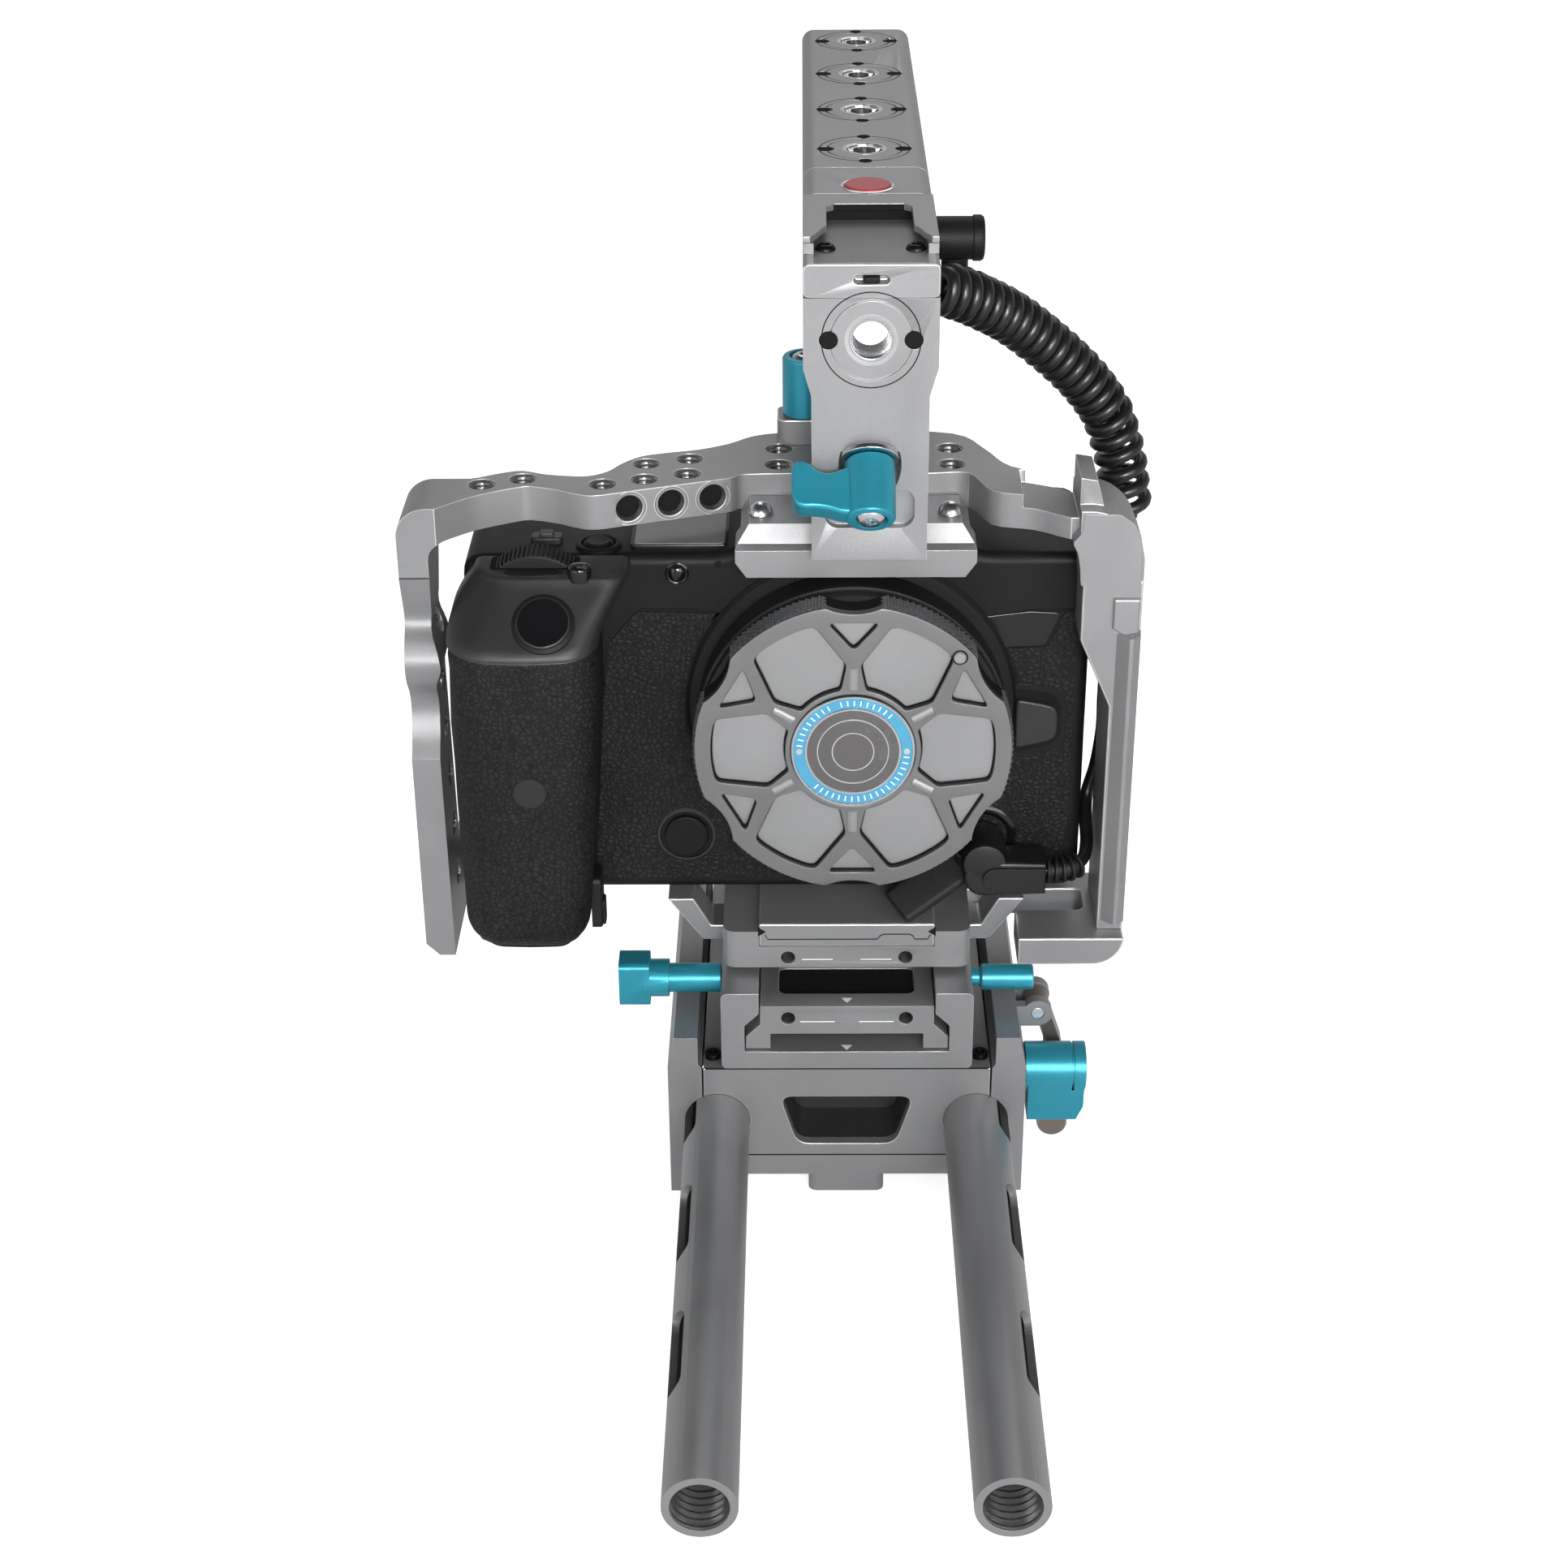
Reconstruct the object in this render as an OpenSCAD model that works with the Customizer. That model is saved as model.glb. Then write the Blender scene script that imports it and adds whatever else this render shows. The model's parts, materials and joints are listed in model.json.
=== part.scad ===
// Cinema camera rig: a mirrorless camera in a half cage on a sliding quick-release
// base, with a pair of 15 mm rods in front and a top handle with a curly trigger cord.
// Millimetres. +Z is up and the lens side faces -Y. The origin is the tripod thread
// in the middle of the base, on the surface that the rig stands on.

/* [Rods] */
// Outer diameter of each rod
rod_d = 15; // [12:0.5:19]
// Distance between the two rod axes
rod_spacing = 60; // [50:1:64]
// Length of each rod
rod_len = 203; // [150:1:254]
// How far each rod stands out in front of the base
rod_reach = 126; // [90:1:150]
// Wall of the rod tube
rod_wall = 1.6; // [1:0.1:3]
// Length of each milled rod slot
rod_slot_len = 24.5; // [10:0.5:36]
// Width of each milled rod slot
rod_slot_w = 6; // [3:0.5:8]
// How far the slots are turned up from the side of the rod, degrees
rod_slot_turn = 28; // [0:1:45]
// Distance between the middles of neighbouring rod slots
rod_slot_pitch = 43; // [38:1:50]

/* [Base] */
// Width of the middle block of the base
base_w = 66; // [64:1:74]
// Length of the base, front to back
base_l = 90; // [80:1:120]
// Height of the foot rail under the floor plate
foot_h = 4.8; // [3:0.2:8]
// Width of the foot rail
foot_w = 17.6; // [12:0.2:30]
// Thickness of the floor plate
floor_t = 5.6; // [4:0.2:8]
// Height of the middle block
base_h = 24.2; // [22:0.2:32]
// Height of the rod axes above the surface
rod_axis_h = 20; // [19:0.5:24]
// Thickness of each side jaw
jaw_t = 7.8; // [6:0.2:12]
// Height of each side jaw
jaw_h = 43; // [40:0.5:44]
// Depth of the front window
window_depth = 14; // [6:1:15]

/* [Receiver] */
// How far the receiver's sides stand in from the sides of the middle block
rec_inset = 4.3; // [3.6:0.1:5]
// Thickness of the receiver floor
rec_floor_t = 4.7; // [3:0.1:7]
// Height of the receiver walls above its floor
rec_wall_h = 15.7; // [15:0.1:17]
// Width across the wings of the sliding plate
wing_w = 46.2; // [40:0.2:47]
// Width of the sliding plate above its wings
slide_neck_w = 39.6; // [36:0.2:40]
// Height of the straight side of the wings
wing_h = 6.4; // [4:0.2:7]
// Height of the sliding plate
slide_h = 11.4; // [11:0.1:12]
// Running gap round the sliding plate
slide_gap = 0.3; // [0.2:0.05:0.5]

/* [Riser] */
// Height of the neck between the sliding plate and the riser
neck_h = 5.5; // [5:0.1:9]
// How far the riser's sides stand in from the receiver's sides
riser_inset = 0.5; // [0.4:0.1:2]
// Thickness of the riser
riser_t = 9.5; // [8:0.1:14]
// Width of the camera plate let into the riser
cam_plate_w = 40; // [30:0.5:46]
// Thickness of the camera plate
cam_plate_t = 6; // [4:0.1:7]
// How far the camera plate stands above the riser
cam_plate_proud = 2; // [1:0.1:3]

/* [Camera] */
// Width of the camera body
cam_w = 137.5; // [130:0.5:145]
// Depth of the camera body without its grip
cam_depth = 40; // [36:0.5:46]
// Height of the camera body at its shoulders
cam_h = 84; // [80:0.5:90]
// Height of the viewfinder hump above the shoulders
hump_h = 6; // [3:0.5:8]
// Width of the viewfinder hump
hump_w = 46; // [38:1:50]
// Height of the lens axis above the camera's underside
lens_h = 47.6; // [44:0.2:50]
// Width of the hand grip
grip_w = 33; // [28:0.5:33.5]
// How far the grip stands in front of the body
grip_reach = 23.6; // [18:0.2:28]
// Height of the leather part of the grip
grip_h = 71; // [64:0.5:74]
// Diameter of the shutter button
shutter_d = 11.4; // [8:0.2:13]

/* [Lens cap] */
// Diameter of the cap that closes the lens mount
cap_d = 69; // [62:0.5:71]
// Thickness of the cap
cap_t = 17.5; // [12:0.5:20]
// Diameter of the medallion in the cap
medal_d = 27; // [20:0.5:27.5]
// Depth of the pockets in the cap's face
cap_pocket = 1.4; // [0.6:0.1:2]

/* [Cage] */
// Thickness of the cage's top plate and side arms
cage_t = 8; // [7:0.2:10]
// Clear gap between the camera and the cage
cage_gap = 2; // [1:0.1:2.4]
// Radius of the cage's outer corners
cage_r = 12; // [9:0.5:16]
cage_left_r = 6.6; // [5:0.2:8]
// Depth of the cage's arms, front to back
arm_depth = 20; // [16:0.5:22]
// How far the front of the arms stands ahead of the camera body
arm_ahead = 12; // [10:0.5:14]
// Radius of the threaded holes in the cage
cage_hole_r = 3; // [2:0.1:3.1]

/* [Handle] */
// Width of the handle
handle_w = 27.6; // [24:0.2:32]
// Length of the handle, front to back
handle_len = 187; // [175:1:210]
// Height of the handle bar
handle_h = 20; // [16:0.5:24]
// Height of the handle's top above the cage's top plate
handle_rise = 59; // [54:0.5:70]
// Thickness of the handle's front post
post_t = 9; // [7:0.5:9.4]
// Width of the post's lower neck
post_neck_w = 24.2; // [20:0.2:26]
// Distance between the accessory holes in the bar
hole_pitch = 34; // [28:0.5:35]
// Radius of the accessory holes, 3/8 inch thread
hole_r = 4.2; // [3.5:0.1:4.8]
// Distance of each locating pin hole from its accessory hole
pin_offset = 8.65; // [8:0.05:9.5]
// Radius of the locating pin holes
pin_r = 1.95; // [1.5:0.05:2.2]
// Lean of the handle's clamp screw below level, degrees
lever_lean = 40; // [30:1:45]

/* [Cord] */
// Diameter of the cord
cord_d = 2.3; // [2:0.1:2.6]
// Outer diameter of the curls
curl_d = 11; // [9:0.2:12]
// Number of curls
curls = 23; // [16:1:24]

/* [Hidden] */
$fn = 48;

// Colours
graphite = [0.47, 0.47, 0.48];
dark_metal = [0.28, 0.28, 0.29];
steel = [0.78, 0.78, 0.8];
teal = [0.1, 0.53, 0.62];
bronze = [0.5, 0.45, 0.4];
black = [0.1, 0.1, 0.1];
leather = [0.14, 0.14, 0.14];
red = [0.7, 0.2, 0.22];

// Small shared sizes
eps = 0.01;
run_gap = 0.06;
part_gap = 0.3;
thread_m4_r = 1.65;
tripod_r = 2.6;

// Heights, from the surface up
floor_z = foot_h;
base_z = floor_z + floor_t;
base_top = base_z + base_h;
rec_floor = base_top + rec_floor_t;
rec_top = rec_floor + rec_wall_h;
slide_z = rec_floor + slide_gap;
slide_top = slide_z + slide_h;
riser_z = slide_top + neck_h;
riser_top = riser_z + riser_t;
cam_z = riser_top + cam_plate_proud;
lens_z = cam_z + lens_h;
shoulder_z = cam_z + cam_h;
hump_z = shoulder_z + hump_h;
cage_z = hump_z + 1;
cage_top_z = cage_z + cage_t;
handle_top = cage_top_z + handle_rise;
shoe_z = handle_top - 10.6;
shoe_top = handle_top - 3.6;

// Places across and along
rec_w = base_w - 2 * rec_inset;
riser_w = rec_w - 2 * riser_inset;
base_front = -base_l / 2;
rod_x = rod_spacing / 2;
rod_r = rod_d / 2;
jaw_x = base_w / 2 + 0.4;
jaw_out = jaw_x + jaw_t;
lens_x = 1;
cam_x1 = 53.5;
cam_x0 = cam_x1 - cam_w;
cam_front = -cam_depth / 2;
cam_back = cam_depth / 2;
grip_x0 = cam_x0 - 2.5;
grip_front = cam_front - part_gap - grip_reach;
arm_front = cam_front - arm_ahead;
arm_back = arm_front + arm_depth;
left_in = grip_x0 - cage_gap - 1.4;
left_out = left_in + 1.4 - cage_t;
right_in = cam_x1 + 1.5 + cage_gap;
right_out = right_in + cage_t - 2;
handle_x = 4.2;
post_front = -37;
post_back = post_front + post_t;
block_front = -30;
shoe_back = 0;
housing_back = 20.4;
handle_back = post_front + handle_len;
first_hole_y = housing_back + 15;

// Rounded rectangle about the origin
module rrect(w, h, r) {
    square([w - 2 * r, h], center = true);
    square([w, h - 2 * r], center = true);
    for (x = [-1, 1], y = [-1, 1]) translate([x * (w / 2 - r), y * (h / 2 - r)]) circle(r);
}

// Blocks with rounded edges along Z, Y and X, given by their limits
module slab_z(x0, x1, y0, y1, z0, z1, r) {
    translate([(x0 + x1) / 2, (y0 + y1) / 2, z0]) linear_extrude(z1 - z0) rrect(x1 - x0, y1 - y0, r);
}
module slab_y(x0, x1, y0, y1, z0, z1, r) {
    translate([(x0 + x1) / 2, y1, (z0 + z1) / 2]) rotate([90, 0, 0]) linear_extrude(y1 - y0)
        rrect(x1 - x0, z1 - z0, r);
}
module slab_x(x0, x1, y0, y1, z0, z1, r) {
    translate([x0, (y0 + y1) / 2, (z0 + z1) / 2]) rotate([90, 0, 90]) linear_extrude(x1 - x0)
        rrect(y1 - y0, z1 - z0, r);
}
module box(x0, x1, y0, y1, z0, z1) translate([x0, y0, z0]) cube([x1 - x0, y1 - y0, z1 - z0]);

// Round bars along X, Y and Z
module bar_x(x0, x1, y, z, r) translate([x0, y, z]) rotate([0, 90, 0]) cylinder(h = x1 - x0, r = r);
module bar_y(y0, y1, x, z, r) translate([x, y0, z]) rotate([-90, 0, 0]) cylinder(h = y1 - y0, r = r);
module bar_z(z0, z1, x, y, r) translate([x, y, z0]) cylinder(h = z1 - z0, r = r);

// A flat outline in X and Z, thick along Y
module profile_y(y0, y1, points) {
    translate([0, y1, 0]) rotate([90, 0, 0]) linear_extrude(y1 - y0) polygon(points);
}

// A flat outline in Y and Z, thick along X
module profile_x(x0, x1, points) {
    translate([x0, 0, 0]) rotate([90, 0, 90]) linear_extrude(x1 - x0) polygon(points);
}

function unit(v) = v / norm(v);

// A smooth closed curve through the points of an outline
function curve_at(p, i, t) = let (n = len(p), a = p[(i + n - 1) % n], b = p[i], c = p[(i + 1) % n],
    d = p[(i + 2) % n])
    0.5 * ((2 * b) + (c - a) * t + (2 * a - 5 * b + 4 * c - d) * t * t + (3 * b - a - 3 * c + d) * t * t * t);
function smooth_run(p, steps) = [for (i = [1:len(p) - 3], s = [0:steps - 1]) curve_at(p, i, s / steps)];
function smooth_outline(p, steps) = [for (i = [0:len(p) - 1], s = [0:steps - 1]) curve_at(p, i, s / steps)];

// An outline with each corner rounded off over a distance
function soft(p, d, steps) = let (n = len(p)) [for (i = [0:n - 1]) let (b = p[i], u = unit(p[(i + n - 1) % n] - b) * d,
    v = unit(p[(i + 1) % n] - b) * d) each [for (k = [0:steps]) let (f = k / steps)
    b + u * (1 - f) * (1 - f) + v * f * f]];

// Thumb lever: a hub on +Z from the seat, with a paddle towards -X
lever_hub_r = 5.2;
lever_len = 13.4;
paddle_reach = 15.5;
paddle_z = 6.2;
module thumb_lever() {
    difference() {
        union() {
            cylinder(h = lever_len, r = lever_hub_r);
            translate([0, 0, paddle_z]) linear_extrude(lever_len - paddle_z) {
                polygon([[0, lever_hub_r], [-paddle_reach + 2.4, 2.6], [-paddle_reach + 2.4, -2.2],
                    [0, -lever_hub_r]]);
                translate([-paddle_reach + 2.4, 0.2]) circle(2.4);
            }
        }
        translate([0, 0, lever_len - 1.4]) cylinder(h = 2, r = 3.6);
        translate([0, 0, lever_len - 3.4]) cylinder(h = 4, r = 1.5);
    }
}

// Accessory hole on +Z: a thread, its ring groove and two locating pin holes along X
ring_r = 8.2;
module accessory_hole(depth) {
    translate([0, 0, -depth]) cylinder(h = depth + eps, r = hole_r);
    for (s = [-1, 1]) translate([s * pin_offset, 0, -4]) cylinder(h = 4 + eps, r = pin_r);
    translate([0, 0, -0.6]) difference() {
        cylinder(h = 0.6 + eps, r = ring_r + 0.4);
        translate([0, 0, -eps]) cylinder(h = 1, r = ring_r);
    }
}

// Base

clamp_r = 2.2;
clamp_y = base_front + 8;
clamp_z = rod_axis_h + rod_r + clamp_r + part_gap;
window_z0 = base_z + 3.2;
window_z1 = base_top - 7.8;

module base_block() {
    color(graphite) difference() {
        box(-base_w / 2, base_w / 2, base_front, -base_front, base_z, base_top);
        for (s = [-1, 1]) bar_y(base_front - 1, -base_front + 1, s * rod_x, rod_axis_h, rod_r + run_gap);
        profile_y(base_front - 1, base_front + window_depth, soft([[-15.4, window_z1], [-11.4, window_z0],
            [11.4, window_z0], [15.4, window_z1]], 3, 4));
        bar_x(-base_w / 2 - 1, base_w / 2 + 1, clamp_y, clamp_z, clamp_r + run_gap);
    }
}

module base_floor() {
    color(graphite) difference() {
        union() {
            box(-base_w / 2, base_w / 2, base_front, -base_front, floor_z, base_z);
            slab_z(-foot_w / 2, foot_w / 2, base_front, -base_front, 0, floor_z + eps, 2);
        }
        bar_z(-1, base_z + 1, 0, 0, tripod_r);
    }
}

module jaw_shape() {
    profile_y(base_front, -base_front, [[jaw_x, 0], [jaw_out, 0], [jaw_out, jaw_h - 8], [jaw_out - 1.6, jaw_h],
        [jaw_x + 0.8, jaw_h], [jaw_x + 0.8, base_top + 1.2], [jaw_x, base_top]]);
}

module jaw_bores() {
    bar_y(base_front - 1, -base_front + 1, rod_x, rod_axis_h, rod_r + run_gap);
    bar_x(jaw_x - 1, jaw_out + 1, clamp_y, clamp_z, clamp_r + run_gap);
}

module rod_jaw_left() color(graphite) mirror([1, 0, 0]) difference() {
    jaw_shape();
    jaw_bores();
}

pivot_x = jaw_out + 3.4;
pivot_z = jaw_h - 2;
pivot_r = 1.5;
release_y0 = clamp_y + 8;
release_y1 = release_y0 + 5;
cheek_t = 2.6;
module rod_jaw_right() color(graphite) difference() {
    union() {
        jaw_shape();
        for (y = [release_y0 - part_gap - cheek_t, release_y1 + part_gap]) {
            box(jaw_out - 2.2, pivot_x, y, y + cheek_t, pivot_z - 3.4, pivot_z + 1.9);
            bar_y(y, y + cheek_t, pivot_x, pivot_z, 3.4);
        }
    }
    jaw_bores();
    bar_y(release_y0 - 6, release_y1 + 6, pivot_x, pivot_z, pivot_r + run_gap);
}

module release_lever() color(bronze) difference() {
    union() {
        bar_y(release_y0, release_y1, pivot_x, pivot_z, 3);
        profile_y(release_y0, release_y1, [[pivot_x - 1.6, pivot_z + 2], [pivot_x + 2.2, pivot_z + 2],
            [pivot_x + 6.2, pivot_z - 10], [pivot_x + 6.8, pivot_z - 33], [pivot_x + 3, pivot_z - 33],
            [pivot_x + 2.2, pivot_z - 9.6]]);
        bar_y(release_y0, release_y1, pivot_x + 4.9, pivot_z - 33.2, 3.6);
    }
    bar_y(release_y0 - 1, release_y1 + 1, pivot_x, pivot_z, pivot_r + run_gap);
}

module release_pin() color(steel)
    bar_y(release_y0 - part_gap - cheek_t, release_y1 + part_gap + cheek_t, pivot_x, pivot_z, pivot_r);

module receiver() {
    wall_in = wing_w / 2 + slide_gap;
    lip_in = slide_neck_w / 2 + slide_gap;
    lip_z = slide_z + wing_h + slide_gap;
    color(graphite) difference() {
        slab_y(-rec_w / 2, rec_w / 2, base_front, -base_front, base_top, rec_top, 1.5);
        profile_y(base_front - 1, -base_front + 1, [[-wall_in, rec_floor], [wall_in, rec_floor], [wall_in, lip_z],
            [lip_in, lip_z + wall_in - lip_in], [lip_in, rec_top + 1], [-lip_in, rec_top + 1],
            [-lip_in, lip_z + wall_in - lip_in], [-wall_in, lip_z]]);
        bar_x(-rec_w, 0, knob_y, knob_z, knob_stud_r + run_gap);
        bar_x(0, rec_w, knob_y, knob_z, button_stem_r + run_gap);
    }
}

// Rods

module rod(side) {
    y0 = base_front - rod_reach;
    color(dark_metal) difference() {
        bar_y(y0, y0 + rod_len, side * rod_x, rod_axis_h, rod_r);
        bar_y(y0 - 1, y0 + rod_len + 1, side * rod_x, rod_axis_h, rod_r - rod_wall);
        for (i = [0:2]) {
            mid = y0 + 40.5 + i * rod_slot_pitch;
            translate([side * rod_x, mid, rod_axis_h]) rotate([0, side * -rod_slot_turn, 0])
                slab_x(side > 0 ? 0 : -rod_d, side > 0 ? rod_d : 0, -rod_slot_len / 2, rod_slot_len / 2,
                    -rod_slot_w / 2, rod_slot_w / 2, rod_slot_w / 2 - eps);
        }
    }
}
module rod_left() rod(-1);
module rod_right() rod(1);

// Rod clamp

module clamp_screw() color(steel) bar_x(-jaw_out, jaw_out + part_gap, clamp_y, clamp_z, clamp_r);

lever_x0 = jaw_out + part_gap;
module clamp_lever() color(teal) difference() {
    union() {
        bar_x(lever_x0, lever_x0 + 14, clamp_y, clamp_z, 5.7);
        profile_y(clamp_y - 5.4, clamp_y + 2.6, [[lever_x0 + 0.6, clamp_z], [lever_x0 + 13.6, clamp_z],
            [lever_x0 + 13.6, clamp_z - 8], [lever_x0 + 12, clamp_z - 11.6], [lever_x0 + 0.6, clamp_z - 11.6]]);
    }
    difference() {
        bar_x(lever_x0 + 10.8, lever_x0 + 11.3, clamp_y, clamp_z, 6.4);
        bar_x(lever_x0 + 10, lever_x0 + 12, clamp_y, clamp_z, 5.3);
    }
}

// Clamp knob and lock button on the receiver

knob_y = base_front + 15;
knob_z = rec_top - 5;
knob_stud_r = 2.5;
button_stem_r = 2;
knob_seat = -rec_w / 2 - part_gap;
module side_stud() color(steel) bar_x(knob_seat, -slide_neck_w / 2 - 1, knob_y, knob_z, knob_stud_r);

module side_knob() color(teal) {
    bar_x(knob_seat - 16, knob_seat, knob_y, knob_z, 3.4);
    bar_x(knob_seat - 17.5, knob_seat - 12, knob_y, knob_z, 4.4);
    slab_x(knob_seat - 23.5, knob_seat - 16.4, knob_y - 4, knob_y + 4, knob_z - 5.6, knob_z + 5.6, 1.5);
}

button_travel = 2;
module lock_button() color(teal) {
    bar_x(rec_w / 2 - 4.6, rec_w / 2 + 2.4, knob_y, knob_z, button_stem_r);
    bar_x(rec_w / 2 + 2.4, rec_w / 2 + 14.6, knob_y, knob_z, 3);
}

// Sliding stage

stage_half = base_l / 2 - 1;
m4_x = 13.4;
neck_front = -26;
pocket_half = 15.6;
pocket_front = -38.6;
pocket_t = 1.2;
module slide_plate() {
    wing = wing_w / 2;
    neck = slide_neck_w / 2;
    color(graphite) difference() {
        profile_y(-stage_half, stage_half, [[-wing, slide_z], [-wing + 5.6, slide_z], [-wing + 5.6, slide_z + 4],
            [wing - 5.6, slide_z + 4], [wing - 5.6, slide_z], [wing, slide_z], [wing, slide_z + wing_h - 3.2],
            [neck, slide_z + wing_h + 0.1], [neck, slide_top], [-neck, slide_top],
            [-neck, slide_z + wing_h + 0.1], [-wing, slide_z + wing_h - 3.2]]);
        for (s = [-1, 1]) bar_y(-stage_half - 1, -stage_half + 8, s * m4_x, slide_top - 3.2, thread_m4_r);
        slab_z(-pocket_half, pocket_half, pocket_front, neck_front - part_gap, slide_top - pocket_t, slide_top + 1, 2);
    }
}

riser_front = -36;
riser_back = 40;
neck_half = 16.5;
screw_r = 3;
module riser_plate() {
    pocket_z = cam_z - cam_plate_t;
    color(graphite) difference() {
        union() {
            slab_z(-neck_half, neck_half, neck_front, 36, slide_top, riser_z + eps, 3);
            slab_z(-riser_w / 2, riser_w / 2, riser_front, riser_back, riser_z, riser_top, 3);
        }
        box(-cam_plate_w / 2, cam_plate_w / 2, riser_front - 1, 30, pocket_z, riser_top + 1);
        bar_z(slide_top - 1, riser_top, 0, 0, screw_r + run_gap);
        slab_z(-12.5, 12.5, -40, 8, slide_top - 1, riser_z, 3);
        for (s = [-1, 1]) bar_y(riser_front - 1, riser_front + 8, s * m4_x, riser_z + 2.6, thread_m4_r);
    }
}

module camera_plate() color(graphite) difference() {
    box(-cam_plate_w / 2, cam_plate_w / 2, riser_front, 30, cam_z - cam_plate_t, cam_z);
    bar_z(cam_z - cam_plate_t - 1, cam_z + 1, 0, 0, screw_r + run_gap);
}

module camera_screw() color(steel) {
    bar_z(slide_top + 0.4, riser_z - 0.2, 0, 0, 6);
    bar_z(riser_z - 0.3, cam_z + 5, 0, 0, screw_r);
}

module riser_braces() color(graphite) for (s = [0, 1]) mirror([s, 0, 0]) {
    edge = riser_w / 2;
    profile_y(-24, -14, [[edge, riser_z], [edge + 5, riser_z], [edge + 13, cam_z - 0.4], [edge + 7, cam_z - 0.4],
        [edge + 3, riser_z + 4], [edge, riser_z + 4]]);
}

// Camera

mount_r = 33;
shutter_y = grip_front + 5;
slope_z = cam_z + grip_h;
slope_run = 15;
slope_rise = 16;
slope_deg = atan2(slope_rise, slope_run);
shutter_x = grip_x0 + 21.5;
shutter_t = 0.34;
shutter_y0 = grip_front + slope_run * shutter_t;
shutter_z0 = slope_z + slope_rise * shutter_t;
dial_x = grip_x0 + 19;
dial_y0 = cam_front - 7.2;
dial_y1 = cam_front - 1.2;
dial_r = 12;
dial_z = shoulder_z + 3.2 - dial_r;
axle_r = 1.5;
function_x = grip_x0 + 29;
function_y = cam_front - 10.4;
top_button_x = grip_x0 + 32;
top_button_y = cam_front + 6;
release_x = lens_x + 41;
release_z = lens_z - 2.6;
preview_x = lens_x - 37.6;
preview_z = cam_z + 14.6;
screen_w = 76;
screen_h = 54;
screen_x1 = cam_x1 - 4;
screen_z0 = cam_z + 12;
screen_t = 6;
screen_hinge_r = 2;
screen_hinge_x = screen_x1 + screen_hinge_r;
screen_hinge_y = cam_back - 0.5;
knuckle_z0 = screen_z0 + 8;
knuckle_z1 = screen_z0 + screen_h - 8;
hinge_pin_r = 1;
port_x = lens_x + 30;
port_z = cam_z + 14;
plug_y = cam_front - 9;
plug_r = 2.6;

module camera_body() color(black) {
    camera_block();
    for (z = [knuckle_z0 - 2, knuckle_z1 - 4]) bar_z(z, z + 6, screen_hinge_x, screen_hinge_y, hinge_pin_r);
}

module camera_block() difference() {
    union() {
        slab_y(cam_x0, cam_x1, cam_front, cam_back, cam_z, shoulder_z, 5);
        slab_y(lens_x - hump_w / 2, lens_x + hump_w / 2, cam_front + 1, cam_back, shoulder_z - 8, hump_z, 4);
    }
    box(screen_x1 - screen_w - part_gap, screen_x1 + part_gap, cam_back - screen_t, cam_back + 1,
        screen_z0 - part_gap, screen_z0 + screen_h + part_gap);
    box(screen_x1 - 1, cam_x1 + 1, screen_hinge_y - screen_hinge_r - part_gap, cam_back + 1,
        knuckle_z0 - part_gap, knuckle_z1 + part_gap);
    bar_z(cam_z - 1, cam_z + 6, 0, 0, screw_r + run_gap);
    bar_z(shoulder_z - 3, shoulder_z + 1, top_button_x, top_button_y, 3.4 + run_gap);
    bar_y(cam_front - 1, cam_front + 3, preview_x, preview_z, 5 + run_gap);
    slab_y(release_x - 6 - part_gap, release_x + 6 + part_gap, cam_front - 1, cam_front + 4,
        release_z - 7 - part_gap, release_z + 7 + part_gap, 3);
    bar_y(cam_front - 1, cam_front + 8, port_x, port_z, plug_r + run_gap);
}

module hand_grip() {
    front = grip_front;
    back = cam_front - part_gap;
    x1 = grip_x0 + grip_w;
    r = 9;
    color(leather) door_lugs();
    color(leather) difference() {
        grip_block(front, back, x1, r);
        translate([grip_x0 - 1, front, slope_z]) rotate([slope_deg, 0, 0]) translate([0, -40, 0])
            cube([grip_w + 2, 80, 40]);
        translate([shutter_x, shutter_y0, shutter_z0]) rotate([slope_deg, 0, 0]) translate([0, 0, -3])
            cylinder(h = 8, r = shutter_d / 2 + run_gap);
        bar_y(dial_y0 - part_gap, dial_y1 + part_gap, dial_x, dial_z, dial_r + part_gap);
        bar_y(dial_y0 - 3, back + 1, dial_x, dial_z, axle_r + run_gap);
        bar_z(shoulder_z - 20, shoulder_z + 9, function_x, function_y, 2.2 + run_gap);
    }
}

module grip_block(front, back, x1, r) {
    translate([0, 0, cam_z]) linear_extrude(shoulder_z - cam_z) {
        translate([grip_x0 + r, front + r]) circle(r);
        translate([x1 - r, front + r]) circle(r);
        translate([grip_x0 + r, front]) square([grip_w - 2 * r, back - front]);
        translate([grip_x0, front + r]) square([grip_w, back - front - r]);
    }
}

module shutter_button() color(black)
    translate([shutter_x, shutter_y0, shutter_z0]) rotate([slope_deg, 0, 0]) translate([0, 0, -2])
        cylinder(h = 3.2, r = shutter_d / 2);

module function_button() color(black) bar_z(shoulder_z - 7, shoulder_z + 1, function_x, function_y, 2.2);
module top_button() color(black) bar_z(shoulder_z - 2, shoulder_z + 0.7, top_button_x, top_button_y, 3.4);
module main_dial() color(black) {
    bar_y(dial_y0, dial_y1, dial_x, dial_z, dial_r);
    bar_y(dial_y0 - 2.6, dial_y1 + 0.8, dial_x, dial_z, axle_r);
}
module lens_release() color(black) slab_y(release_x - 6, release_x + 6, cam_front - 1.2, cam_front + 2.4,
    release_z - 7, release_z + 7, 3);
module preview_button() color(black) bar_y(cam_front - 1.2, cam_front + 1.8, preview_x, preview_z, 5);

module lens_mount() color(steel) difference() {
    bar_y(cam_front - 4, cam_front, lens_x, lens_z, mount_r);
    bar_y(cam_front - 5, cam_front + 1, lens_x, lens_z, 27);
}

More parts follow.
